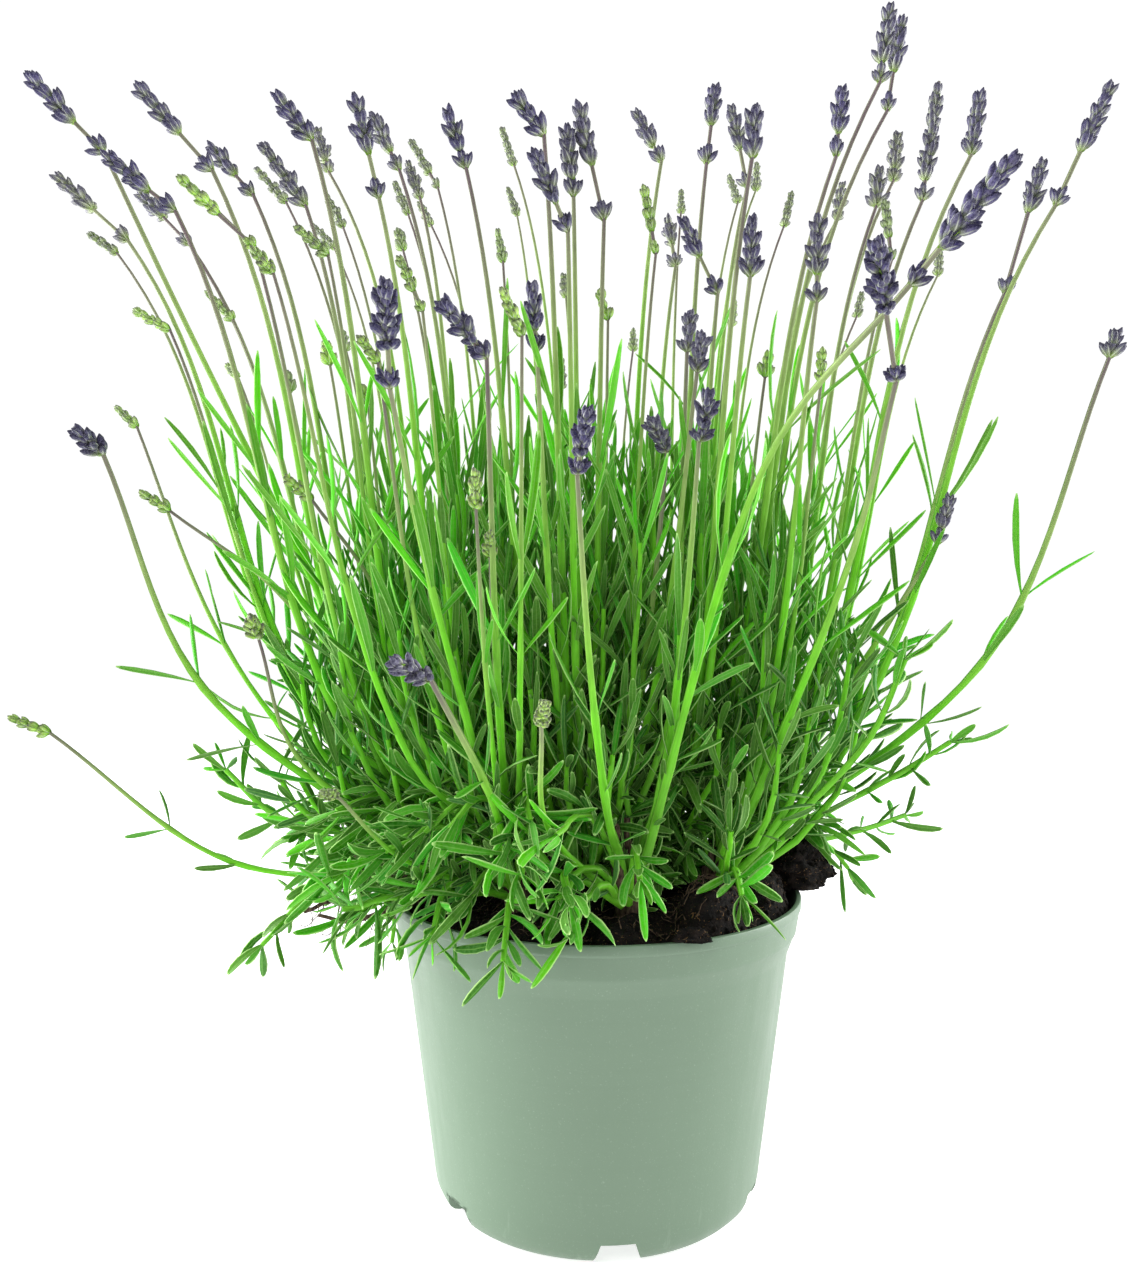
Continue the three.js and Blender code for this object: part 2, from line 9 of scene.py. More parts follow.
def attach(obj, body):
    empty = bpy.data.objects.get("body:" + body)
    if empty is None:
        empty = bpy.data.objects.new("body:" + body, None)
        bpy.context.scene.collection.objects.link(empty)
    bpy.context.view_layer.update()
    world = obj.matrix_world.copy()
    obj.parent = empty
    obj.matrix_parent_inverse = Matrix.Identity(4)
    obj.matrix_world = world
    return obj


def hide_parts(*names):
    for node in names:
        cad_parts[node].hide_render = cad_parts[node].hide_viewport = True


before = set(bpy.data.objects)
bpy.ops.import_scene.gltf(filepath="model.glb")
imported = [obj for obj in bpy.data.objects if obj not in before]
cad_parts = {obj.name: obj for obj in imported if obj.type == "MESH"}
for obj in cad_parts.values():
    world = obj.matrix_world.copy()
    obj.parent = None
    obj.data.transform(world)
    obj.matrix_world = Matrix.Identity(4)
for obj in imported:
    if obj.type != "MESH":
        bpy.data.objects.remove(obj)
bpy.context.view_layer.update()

# Potted lavender. The plan of the plant is worked out in millimetres, in the frame's own axes,
# and every mesh is made in metres.
print("frame loaded with", len(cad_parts), "nodes")

mm = 0.001
# the camera that the photograph was fitted to: pixels of its own frame, then millimetres
photo = {"wide": 1262, "middle": 571.5, "horizon": 631, "focal": 1050,
         "eyeHeight": 232.5, "eyeBack": 450, "eyeAside": -10.5}

# ---- the plan of the plant, as in the solids

pot = {"rim": 86, "height": 123, "waist": 80.5, "shoulder": 68.5, "foot": 62, "wall": 1.5}
collar = {"lip": 4, "lipDepth": 0.6, "band": 13, "step": 8, "taper": 2}
notch = {"count": 6, "turn": 5.5, "height": 9, "halfFoot": 9.6, "halfTop": 6.4, "inner": 50}
soil = {"gap": 1, "edge": 117, "mound": 16, "lump": 1.1}
crown = {"outer": 8, "outerReach": 56, "inner": 4, "innerReach": 26, "turn": 11, "knob": 6.8,
         "rise": 7, "sunk": 2.5, "share": 3.4, "fan": 0.012}
stem = {"start": 11, "height": 337, "steps": 26}
headLean = 0.15
pale = {"violet": (385, 200), "other": (440, 160), "highGreen": 0.55, "highAbove": 300}
twig = {"far": 425, "root": (-66, -18), "depth": 6}

# Flowering stems: the head's tip x, y and foot x, y in pixels of the photograph, the distance from
# the eye in millimetres, the colour, the drop to a separate lower whorl, and the pixel that a bowed
# stem's middle passes.
floweringStems = [
    (25, 72, 75, 123, 400, "violet", 14, 196, 345),
    (134, 82, 180, 134, 405, "violet", 17),
    (102, 153, 150, 191, 400, "violet", 11),
    (53, 173, 94, 210, 470, "violet", 22),
    (85, 231, 117, 253, 490, "green", 0),
    (138, 191, 164, 218, 500, "violet", 22),
    (207, 144, 236, 176, 450, "violet", 11),
    (173, 171, 219, 214, 365, "green", 16),
    (250, 247, 273, 272, 370, "green", 0),
    (257, 138, 306, 206, 450, "violet", 0),
    (252, 164, 286, 202, 490, "green", 0),
    (274, 92, 312, 140, 388, "violet", 0),
    (316, 126, 326, 162, 560, "violet", 9),
    (324, 191, 343, 227, 510, "green", 0),
    (293, 224, 328, 255, 400, "green", 0),
    (310, 222, 334, 248, 570, "green", 0),
    (355, 95, 369, 155, 385, "violet", 15),
    (371, 112, 391, 153, 465, "violet", 9),
    (408, 136, 430, 174, 500, "green", 9),
    (407, 160, 420, 198, 560, "violet", 0),
    (393, 178, 408, 214, 520, "green", 0),
    (417, 200, 431, 225, 590, "green", 0),
    (399, 232, 403, 250, 480, "green", 0),
    (397, 252, 414, 291, 385, "green", 8),
    (446, 108, 461, 153, 410, "violet", 6),
    (500, 124, 514, 165, 560, "green", 0),
    (512, 91, 544, 135, 380, "violet", 0),
    (534, 150, 556, 203, 370, "violet", 11),
    (507, 185, 517, 215, 590, "green", 0),
    (567, 125, 572, 180, 400, "violet", 6),
    (577, 98, 592, 166, 400, "violet", 20),
    (635, 110, 654, 147, 475, "violet", 8),
    (643, 181, 652, 232, 405, "green", 8),
    (681, 188, 681, 212, 600, "green", 0),
    (681, 217, 700, 257, 420, "violet", 16),
    (667, 216, 672, 245, 500, "grey", 13),
    (716, 85, 711, 126, 435, "violet", 15),
    (731, 104, 740, 150, 490, "violet", 20),
    (755, 107, 752, 158, 380, "violet", 0),
    (757, 160, 756, 190, 600, "green", 0),
    (728, 173, 738, 202, 590, "green", 0),
    (752, 215, 750, 277, 385, "violet", 0),
    (793, 188, 784, 226, 560, "green", 0),
    (842, 88, 838, 134, 410, "violet", 8),
    (842, 182, 838, 213, 560, "violet", 6),
    (818, 214, 817, 275, 398, "violet", 10),
    (890, 3, 882, 64, 420, "violet", 7),
    (902, 14, 893, 73, 445, "violet", 16),
    (940, 75, 925, 181, 460, "violet", 9),
    (980, 88, 971, 155, 430, "violet", 0),
    (1114, 78, 1080, 152, 420, "violet", 22),
    (1044, 158, 1028, 213, 450, "violet", 36),
    (1024, 146, 940, 248, 290, "violet", 13, 770, 455),
    (875, 235, 886, 311, 300, "violet", 30, 850, 560),
    (880, 166, 876, 207, 480, "violet", 0),
    (897, 131, 894, 172, 520, "violet", 6),
    (884, 198, 889, 238, 440, "green", 9),
    (940, 250, 938, 275, 530, "green", 0),
    (862, 291, 857, 316, 560, "green", 0),
    (385, 278, 388, 348, 310, "violet", 16, 425, 560),
    (440, 300, 474, 342, 350, "violet", 8),
    (500, 285, 522, 335, 345, "green", 0),
    (531, 283, 535, 330, 375, "violet", 8),
    (358, 335, 378, 362, 380, "green", 0),
    (325, 342, 330, 365, 460, "green", 0),
    (343, 330, 346, 350, 530, "green", 0),
    (203, 288, 233, 320, 490, "green", 0),
    (130, 308, 170, 330, 460, "green", 0),
    (225, 364, 238, 377, 520, "green", 0),
    (283, 475, 312, 500, 400, "green", 0, 375, 590),
    (475, 466, 476, 508, 355, "green", 0),
    (489, 530, 490, 556, 370, "green", 0),
    (587, 407, 580, 455, 330, "violet", 9),
    (690, 310, 687, 352, 420, "grey", 0),
    (703, 333, 697, 372, 395, "grey", 0),
    (710, 393, 702, 428, 370, "violet", 6),
    (650, 418, 662, 442, 400, "grey", 5),
    (598, 288, 608, 320, 430, "green", 0),
    (633, 328, 633, 350, 580, "green", 0),
    (735, 298, 731, 326, 560, "green", 0),
    (768, 355, 765, 377, 440, "green", 0),
    (822, 345, 821, 383, 410, "green", 0),
    (562, 357, 562, 388, 560, "green", 0),
    (1117, 333, 1109, 358, 430, "violet", 0, 988, 655),
    (951, 495, 941, 530, 430, "grey", 6, 868, 655),
    (78, 430, 103, 454, 370, "violet", 0, 205, 690),
    (114, 405, 137, 427, 480, "green", 0),
    (137, 490, 170, 511, 420, "green", 0, 285, 600),
    (3, 715, 50, 733, 430, "green", 0, 232, 862),
    (250, 617, 258, 637, 380, "green", 0, 300, 760),
    (387, 660, 430, 678, 330, "grey", 0, 492, 800),
    (545, 700, 541, 724, 330, "green", 0, 549, 830),
    (321, 793, 336, 795, 350, "green", 0, 402, 858),
    (497, 228, 503, 262, 470, "green", 0),
    (563, 272, 566, 297, 520, "green", 0),
    (438, 405, 440, 425, 470, "green", 0),
    (363, 392, 368, 405, 450, "green", 0),
    (287, 375, 290, 392, 470, "green", 0),
    (378, 520, 382, 535, 430, "green", 0),
]

# Sprigs that arch over the rim: end x, y, distance, then a place on the way, and leaf pairs.
leafySprigs = [
    (503, 962, 352, 510, 900, 375, 3),
    (572, 905, 352, 566, 872, 372, 2),
    (432, 936, 372, 450, 885, 385, 2),
    (742, 896, 380, 735, 870, 390, 2),
    (262, 945, 420, 330, 880, 425, 3),
    (392, 942, 470, 408, 858, 468, 2),
    (848, 868, 450, 825, 845, 450, 2),
    (950, 742, 440, 905, 770, 440, 2),
    (905, 815, 500, 868, 828, 490, 2),
    (640, 880, 362, 634, 850, 380, 2),
    (226, 770, 470, 275, 815, 465, 2),
    (905, 660, 400, 868, 740, 400, 2),
]


def draw(row, item):
    # a number from 0 to 1 that is always the same for a row and an item
    wave = math.sin(row * 12.9898 + item * 78.233) * 43758.5453
    return wave - math.floor(wave)


def mix(a, b, part):
    return a + (b - a) * part


def clamp(value, low, high):
    return max(low, min(high, value))


def sight(x, y, far):
    # the place that a pixel of the photograph shows, at a distance from the eye along +Y
    scale = far / photo["focal"]
    return Vector((photo["eyeAside"] + (x - photo["middle"]) * scale, far - photo["eyeBack"],
                   photo["eyeHeight"] + (photo["horizon"] - y) * scale))


def across(axis):
    # two directions square to an axis
    start = Vector((0, 1, 0)) if abs(axis.y) < 0.9 else Vector((1, 0, 0))
    right = start.cross(axis).normalized()
    return right, axis.cross(right).normalized()


def soilTop(x, y):
    # the gently lumpy mound, as in the solids
    dome = 1 - (x * x + y * y) / pot["rim"] ** 2
    lumps = math.sin(x * 0.19 + 1.3) * math.cos(y * 0.16 + 0.4)
    lumps += 0.5 * math.sin(x * 0.41 - y * 0.33)
    return soil["edge"] + soil["mound"] * dome + soil["lump"] * lumps * min(1, 2 * dome + 0.2)


def crownPlaces():
    # two rings of cuttings and one in the middle
    spots = [(0, 0)]
    for count, reach, turn in ((crown["inner"], crown["innerReach"], -crown["turn"]),
                               (crown["outer"], crown["outerReach"], crown["turn"])):
        angles = [math.radians(turn + i * 360 / count) for i in range(count)]
        spots = [(reach * math.cos(a), reach * math.sin(a)) for a in angles] + spots
    return [Vector((x, y, soilTop(x, y))) for x, y in spots]


crowns = crownPlaces()


def spread(z):
    # the share of its way outwards that a stem has gone at a height
    u = clamp((z - soil["edge"] - stem["start"]) / stem["height"], 0.02, 1.3)
    return 2.05 * u - 3.2 * u * u + 2.15 * u ** 3


def crownOf(top):
    # the cutting that a stem's top points back to
    reach = spread(top.z)

    def far(place):
        x = place.x + (top.x - place.x) / reach - crown["share"] * place.x
        y = place.y + (top.y - place.y) / reach - crown["share"] * place.y
        return math.hypot(x, y)

    return min(crowns, key=far)


def curveThrough(points, steps):
    # a centripetal Catmull-Rom curve in equal steps of length
    ends = [2 * points[0] - points[1], *points, 2 * points[-1] - points[-2]]
    fine = []
    for p0, p1, p2, p3 in zip(ends, ends[1:], ends[2:], ends[3:]):
        d0, d1, d2 = [math.sqrt((b - a).length) for a, b in ((p0, p1), (p1, p2), (p2, p3))]
        out = ((p1 - p0) / d0 - (p2 - p0) / (d0 + d1) + (p2 - p1) / d1) * d1
        into = ((p2 - p1) / d1 - (p3 - p1) / (d1 + d2) + (p3 - p2) / d2) * d1
        for i in range(40):
            t = i / 40
            fine.append(p1 + out * t + (3 * (p2 - p1) - 2 * out - into) * t * t
                        + (2 * (p1 - p2) + out + into) * t ** 3)
    fine.append(points[-1].copy())
    return evenly(fine, steps)


def evenly(points, steps):
    # the same line in equal steps of length
    lengths = [0.0]
    for a, b in zip(points, points[1:]):
        lengths.append(lengths[-1] + (b - a).length)
    line = []
    k = 0
    for i in range(steps + 1):
        want = lengths[-1] * i / steps
        while k < len(points) - 2 and lengths[k + 1] < want:
            k += 1
        part = (want - lengths[k]) / max(lengths[k + 1] - lengths[k], 1e-6)
        line.append(points[k].lerp(points[k + 1], clamp(part, 0, 1)))
    return line


def stemLine(place, top, steps, bow):
    # a stem's line from its cutting: fanned by rule, or through the sighted bow
    root = (top - place) * (crown["fan"] / spread(top.z))
    root.z = 0
    if root.length > crown["knob"] - 1:
        root = root.normalized() * (crown["knob"] - 1)
    root += place
    root.z += crown["rise"] - crown["sunk"]
    if bow:
        far = bow[2] if len(bow) > 2 else (place.y + top.y) / 2 + photo["eyeBack"]
        return curveThrough([root, sight(bow[0], bow[1], far), top], steps)
    full = spread(top.z)
    line = []
    for k in range(steps + 1):
        z = mix(root.z, top.z, k / steps)
        part = clamp(spread(z) / full, 0, 1)
        ease = min(1, k / steps * 5)  # leaves the root straight
        line.append(Vector((mix(root.x, top.x, part * ease), mix(root.y, top.y, part * ease), z)))
    return evenly(line, steps)


def flowerPlan():
    # farther heads are paler, and so are the green ones that stand high
    plan = []
    for i, row in enumerate(floweringStems):
        tipX, tipY, footX, footY, far, hue, drop, *bow = row
        foot = sight(footX, footY, far)
        tip = sight(tipX, tipY, far + headLean * (far - photo["eyeBack"]))
        axis = (tip - foot).normalized()
        top = foot - axis * drop
        start, reach = pale["violet" if hue == "violet" else "other"]
        high = pale["highGreen"] if hue == "green" and footY < pale["highAbove"] else 0
        plan.append({
            "row": i, "hue": hue, "drop": drop, "foot": foot, "tip": tip, "axis": axis,
            "line": stemLine(crownOf(top), top, stem["steps"], bow),
            "paleness": clamp((far - start) / reach + high + 0.5 * (draw(i, 77) - 0.4), 0, 0.85)})
    return plan


flowers = flowerPlan()
print("planned", len(flowers), "flowering stems")

# ---- making meshes and node trees

desk = {}  # holds under "tree" the node tree that is being built
socketKinds = {float: "NodeSocketFloat", int: "NodeSocketInt", tuple: "NodeSocketColor"}


def link(value, socket):
    # joins another node's socket to this one, or sets a plain value on it
    if isinstance(value, bpy.types.NodeSocket):
        socket.id_data.links.new(value, socket)
    else:
        socket.default_value = value


def newTree(name, kind, inputs, output):
    # a node tree with named inputs and one output; where None is given as an input's default,
    # or for the output, the name of the socket is also its kind
    tree = desk["tree"] = bpy.data.node_groups.new(name, kind)
    for label, value in inputs.items():
        socketKind = socketKinds.get(type(value), "NodeSocket" + label)
        item = tree.interface.new_socket(name=label, in_out="INPUT", socket_type=socketKind)
        if value is not None:
            item.default_value = value
    outputKind = "NodeSocketFloat" if output == "Height" else "NodeSocket" + output
    tree.interface.new_socket(name=output, in_out="OUTPUT", socket_type=outputKind)
    return tree.nodes.new("NodeGroupInput").outputs, tree.nodes.new("NodeGroupOutput").inputs[0]


def addNode(kind, sockets=None, **settings):
    node = desk["tree"].nodes.new(kind)
    for name, value in settings.items():
        setattr(node, name, value)
    for name, value in (sockets or {}).items():
        link(value, node.inputs[name])
    return node


def shaderNode(kind, sockets=None, **settings):
    return addNode("ShaderNode" + kind, sockets, **settings).outputs[0]


def geometryNode(kind, sockets=None, **settings):
    return addNode("GeometryNode" + kind, sockets, **settings).outputs[0]


def functionNode(kind, sockets=None, **settings):
    return addNode("FunctionNode" + kind, sockets, **settings).outputs[0]


def maths(operation, a, b=0.0, c=0.0):
    return shaderNode("Math", {0: a, 1: b, 2: c}, operation=operation)


def plus(a, b):
    return maths("ADD", a, b)


def minus(a, b):
    return maths("SUBTRACT", a, b)


def times(a, b):
    return maths("MULTIPLY", a, b)


def timesPlus(a, b, c):
    return maths("MULTIPLY_ADD", a, b, c)


def ramp(value, low, high, outLow=0.0, outHigh=1.0):
    return shaderNode("MapRange", {"Value": value, "From Min": low, "From Max": high,
                                   "To Min": outLow, "To Max": outHigh})


def attribute(name, kind="FLOAT"):
    # a named attribute, in a geometry tree or in a shader tree
    if desk["tree"].bl_idname == "ShaderNodeTree":
        return addNode("ShaderNodeAttribute", attribute_name=name).outputs["Fac"]
    return geometryNode("InputNamedAttribute", {"Name": name}, data_type=kind)


def floatCurve(value, points):
    # the points are given with the two ends first
    node = addNode("ShaderNodeFloatCurve", {"Value": value})
    curve = node.mapping.curves[0]
    for x, y in points[2:]:
        curve.points.new(x, y)
    for point, place in zip(curve.points, sorted(points)):
        point.location = place
        point.handle_type = "AUTO"
    node.mapping.update()
    return node.outputs[0]


def store(geometry, name, value, domain="POINT"):
    return geometryNode("StoreNamedAttribute", {"Geometry": geometry, "Name": name, "Value": value},
                        data_type="FLOAT", domain=domain)


def circleCurve(points):
    return geometryNode("CurvePrimitiveCircle", {"Resolution": points, "Radius": 1.0},
                        mode="RADIUS")


def finishTree(geometry, given, result):
    real = geometryNode("RealizeInstances", {"Geometry": geometry})
    link(geometryNode("SetMaterial", {"Geometry": real, "Material": given["Material"]}), result)
    return desk["tree"]


def newObject(name, data):
    piece = bpy.data.objects.new(name, data)
    bpy.context.scene.collection.objects.link(piece)
    return piece


def meshFrom(work, name):
    mesh = bpy.data.meshes.new(name)
    work.to_mesh(mesh)
    work.free()
    return mesh


def smooth(mesh, sharpFrom=None):
    for face in mesh.polygons:
        face.use_smooth = True
    if sharpFrom:
        mesh.set_sharp_from_angle(angle=math.radians(sharpFrom))
    return mesh


def cover(mesh, material):
    mesh.materials.clear()
    mesh.materials.append(material)
    return mesh


def bakeModifier(piece, name):
    # the piece's mesh with its modifiers applied
    shown = piece.evaluated_get(bpy.context.evaluated_depsgraph_get())
    mesh = bpy.data.meshes.new_from_object(shown)
    mesh.name = name
    return mesh


def seedMesh(name, lines):
    # a mesh of bare points and edges: each line is a list of points, each point a dictionary with
    # its place in millimetres under "at" and the value of every attribute under its name
    points = [point for line in lines for point in line]
    edges = []
    start = 0
    for line in lines:
        edges += [(start + k, start + k + 1) for k in range(len(line) - 1)]
        start += len(line)
    mesh = bpy.data.meshes.new(name)
    mesh.from_pydata([point["at"] * mm for point in points], edges, [])
    for label, value in points[0].items():
        if label == "at":
            continue
        isVector = isinstance(value, Vector)
        layer = mesh.attributes.new(label, "FLOAT_VECTOR" if isVector else "FLOAT", "POINT")
        for spot, point in zip(layer.data, points):
            setattr(spot, "vector" if isVector else "value", point[label])
    return mesh


def grow(name, mesh, tree, material, values):
    # runs a geometry tree on a mesh and keeps the result as a plain mesh
    seed = newObject(name + ".seed", mesh)
    modifier = seed.modifiers.new("grow", "NODES")
    modifier.node_group = tree
    values = {**values, "Material": material}
    for item in tree.interface.items_tree:
        if item.item_type == "SOCKET" and item.in_out == "INPUT" and item.name in values:
            modifier[item.identifier] = values[item.name]
    grown = bakeModifier(seed, name)
    bpy.data.objects.remove(seed)
    return newObject(name, smooth(grown))


def settle(piece, slot, *nodes):
    # hands a finished piece to the frame
    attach(piece, "root")
    if nodes:
        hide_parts(*nodes)
    piece.data.calc_loop_triangles()
    print(f"  {piece.name}: {len(piece.data.loop_triangles)} triangles")


def growPiece(name, lines, tree, material, values, slot, *nodes):
    settle(grow(name, seedMesh(name, lines), tree, material, values), slot, *nodes)


# ---- shared shader effects

def srgb(channel):
    value = channel / 255
    return value / 12.92 if value <= 0.04045 else ((value + 0.055) / 1.055) ** 2.4


def paint(r, g, b):
    # a colour as it is seen, in the values that a shader takes
    return (srgb(r), srgb(g), srgb(b), 1)


def mixColor(part, a, b):
    return addNode("ShaderNodeMix", {0: part, 6: a, 7: b}, data_type="RGBA").outputs[2]


def colorRamp(value, stops):
    # each stop is a place from 0 to 1 and a colour as it is seen
    node = addNode("ShaderNodeValToRGB", {"Fac": value})
    elements = node.color_ramp.elements
    while len(elements) < len(stops):
        elements.new(0.5)
    for element, (place, *color) in zip(elements, stops):
        element.position = place
        element.color = paint(*color)
    return node.outputs[0]


def objectPlace():
    return addNode("ShaderNodeTexCoord").outputs["Object"]


def stretched(place, scale):
    return shaderNode("Mapping", {"Vector": place, "Scale": scale})


def clouds(place, scale, detail, roughness=0.5, distortion=0.0):
    return shaderNode("TexNoise", {"Vector": place, "Scale": scale, "Detail": detail,
                                   "Roughness": roughness, "Distortion": distortion})


def toned(color, value, hue=0.5, saturation=1.0):
    return shaderNode("HueSaturation",
                      {"Hue": hue, "Saturation": saturation, "Value": value, "Color": color})


def toneGroup():
    # soft uneven colour: the same hue a little darker and lighter in patches
    given, result = newTree("unevenTone", "ShaderNodeTree", {
        "Color": (0.5, 0.5, 0.5, 1), "Patch Size": 60.0, "Amount": 0.2}, "Color")
    patches = ramp(clouds(objectPlace(), given["Patch Size"], 3.0, 0.55), 0.3, 0.7)
    link(toned(given["Color"], timesPlus(minus(patches, 0.5), given["Amount"], 1.0)), result)
    return desk["tree"]


def grainGroup():
    # a fine even grain for bump, the height of moulded plastic, bark or leaf skin
    given, result = newTree("fineGrain", "ShaderNodeTree", {"Scale": 900.0, "Stretch": 1.0},
                            "Height")
    squeeze = shaderNode("CombineXYZ", {"X": 1.0, "Y": 1.0, "Z": given["Stretch"]})
    place = stretched(objectPlace(), squeeze)
    cells = shaderNode("TexVoronoi", {"Vector": place, "Scale": times(given["Scale"], 0.6)})
    link(timesPlus(cells, 0.35, clouds(place, given["Scale"], 2.0)), result)
    return desk["tree"]


def downGroup():
    # the pale felt of short hairs on young growth: strong where the mask is high
    given, result = newTree("paleDown", "ShaderNodeTree", {
        "Color": (0.1, 0.4, 0.05, 1), "Down Color": (0.5, 0.62, 0.42, 1), "Mask": 0.0,
        "Scale": 2600.0}, "Color")
    broken = times(ramp(clouds(objectPlace(), given["Scale"], 1.0), 0.35, 0.6), given["Mask"])
    link(mixColor(broken, given["Color"], given["Down Color"]), result)
    return desk["tree"]


unevenTone = toneGroup()
fineGrain = grainGroup()
paleDown = downGroup()


def useGroup(group, **sockets):
    node = addNode("ShaderNodeGroup", node_tree=group)
    for name, value in sockets.items():
        link(value, node.inputs[name.replace("_", " ")])
    return node.outputs[0]


def uneven(color, patchSize, amount):
    return useGroup(unevenTone, Color=color, Patch_Size=patchSize, Amount=amount)


def grain(scale, stretch=1.0):
    return useGroup(fineGrain, Scale=scale, Stretch=stretch)


def downy(color, mask, scale, downColor):
    return useGroup(paleDown, Color=color, Mask=mask, Scale=scale, Down_Color=downColor)


def newMaterial(name, **constants):
    material = bpy.data.materials.new(name)
    material.use_nodes = True
    desk["tree"] = material.node_tree
    inputs = desk["tree"].nodes["Principled BSDF"].inputs
    for label, value in constants.items():
        inputs[label.replace("_", " ")].default_value = value
    return material, inputs


def finishMaterial(material, inputs, color, height=None, distance=0.0, strength=0.0):
    # the colour and, where there is a height, the bump
    link(color, inputs["Base Color"])
    if height is not None:
        bump = {"Height": height, "Distance": distance, "Strength": strength}
        link(shaderNode("Bump", bump), inputs["Normal"])
    return material


# ---- pot

potShell = {"sides": 144, "edge": 0.5, "sharpFrom": 32, "roughness": 0.42,
            "color": paint(104, 126, 105), "shade": paint(99, 120, 99),
            "speck": paint(186, 202, 184), "speckShare": 0.5, "scuffedBelow": 0.03}
bandFoot = pot["height"] - collar["band"]
stepFoot = bandFoot - collar["step"]
notchAngles = [notch["turn"] + i * 360 / notch["count"] for i in range(notch["count"])]


def plasticMaterial():
    material, inputs = newMaterial("nurseryPlastic", Roughness=potShell["roughness"],
                                   Specular_IOR_Level=0.42)
    place = objectPlace()
    rings = clouds(stretched(place, (6, 6, 420)), 1.0, 3.0)
    scuffs = clouds(stretched(place, (90, 90, 14)), 1.0, 6.0, 0.7)
    height = addNode("ShaderNodeSeparateXYZ", {"Vector": place}).outputs["Z"]
    streaked = mixColor(ramp(rings, 0.5, 0.8, 0, 0.2), uneven(potShell["color"], 9.0, 0.05),
                        potShell["shade"])
    flecks = ramp(clouds(place, 1500.0, 2.0), 0.64, 0.74, 0, potShell["speckShare"])
    flecked = mixColor(times(flecks, 0.35), streaked, potShell["speck"])
    worn = times(ramp(scuffs, 0.56, 0.72), ramp(height, potShell["scuffedBelow"], 0.0))
    link(plus(ramp(scuffs, 0.3, 0.75, 0.36, 0.54), times(worn, 0.2)), inputs["Roughness"])
    return finishMaterial(material, inputs, mixColor(times(worn, 0.4), flecked, potShell["speck"]),
                          timesPlus(rings, 0.25, grain(1400.0)), 0.0001, 0.3)


def potProfile():
    # radius and height, up the outside and down the inside
    rim, foot, waist, shoulder = pot["rim"], pot["foot"], pot["waist"], pot["shoulder"]
    height, wall, edge, taper = pot["height"], pot["wall"], potShell["edge"], collar["taper"]
    lipFoot = height - collar["lip"]
    outside = [
        (0, 0), (foot - 3, 0), (foot, 0.3), (foot + 2.6, 1.4), (foot + 4.6, 3.4),
        (foot + 5.9, 6.2), (shoulder, 9.5), (shoulder + 0.5, 14), (waist, stepFoot),
        (waist + 0.6, stepFoot + 1.2), (rim - taper - 0.7, bandFoot - 0.8),
        (rim - taper - 0.05, bandFoot), (rim - taper + 0.1, bandFoot + 1),
        (rim - collar["lipDepth"], lipFoot - 0.2), (rim - 0.1, lipFoot + 0.35),
        (rim, lipFoot + 0.9), (rim, height - edge), (rim - edge * 0.4, height - 0.1),
        (rim - edge, height),
    ]
    inside = [
        (rim - wall - 0.6 + edge, height), (rim - wall - 0.5, height - 0.15),
        (rim - wall - 0.6, height - edge), (rim - wall - taper, bandFoot + 0.4),
        (waist - wall, stepFoot - 0.5), (shoulder - wall, 9.5), (foot + 2.4 - wall, 3),
        (foot - wall, wall), (0, wall),
    ]
    return outside, inside


def latheMesh(name, profile, sides):
    # turns a profile that starts and ends on the axis
    work = bmesh.new()
    rings = []
    for radius, z in profile:
        turns = [k * math.tau / sides for k in range(sides if radius > 1e-6 else 1)]
        rings.append([work.verts.new((radius * math.cos(turn) * mm, radius * math.sin(turn) * mm,
                                      z * mm)) for turn in turns])
    for low, high in zip(rings, rings[1:]):
        for k in range(sides):
            after = (k + 1) % sides
            corners = [low[k % len(low)], low[after % len(low)],
                       high[after % len(high)], high[k % len(high)]]
            work.faces.new(dict.fromkeys(corners))
    bmesh.ops.recalc_face_normals(work, faces=work.faces)
    return meshFrom(work, name)


def wedgeMesh(margin, degrees):
    # the block that cuts one drainage notch
    work = bmesh.new()
    footHalf, topHalf = notch["halfFoot"] + margin, notch["halfTop"] + margin
    top = notch["height"] + margin
    corners = [work.verts.new((x * mm, y * mm, z * mm))
               for y in (-(notch["inner"] - margin), -(pot["rim"] + 2))
               for x, z in ((-footHalf, -1), (footHalf, -1), (topHalf, top), (-topHalf, top))]
    sides = ((0, 1, 2, 3), (7, 6, 5, 4), (0, 4, 5, 1), (1, 5, 6, 2), (2, 6, 7, 3), (3, 7, 4, 0))
    for side in sides:
        work.faces.new([corners[i] for i in side])
    bmesh.ops.recalc_face_normals(work, faces=work.faces)
    bmesh.ops.rotate(work, cent=(0, 0, 0), verts=work.verts,
                     matrix=Matrix.Rotation(math.radians(degrees), 3, "Z"))
    return meshFrom(work, "wedge")


def carve(piece, mesh, operation):
    tool = newObject("tool", mesh)
    modifier = piece.modifiers.new("carve", "BOOLEAN")
    modifier.operation = operation
    modifier.solver = "EXACT"
    modifier.object = tool
    carved = bakeModifier(piece, piece.name)
    piece.modifiers.remove(modifier)
    piece.data = carved
    bpy.data.objects.remove(tool)


def makePot():
    outside, inside = potProfile()
    filled = latheMesh("filled", [*outside, (0, pot["height"])], potShell["sides"])
    shell = newObject("potShell", latheMesh("potShell", outside + inside, potShell["sides"]))
    for angle in notchAngles:
        pocket = newObject("pocket", wedgeMesh(pot["wall"], angle))
        carve(pocket, filled, "INTERSECT")
        carve(shell, pocket.data, "UNION")
        bpy.data.objects.remove(pocket)
    for angle in notchAngles:
        carve(shell, wedgeMesh(0, angle), "DIFFERENCE")
    cover(smooth(shell.data, potShell["sharpFrom"]), plasticMaterial())
    shell.data.name = "potShell"
    settle(shell, "pot_plastic", "pot")


makePot()
print("pot made")

# ---- soil

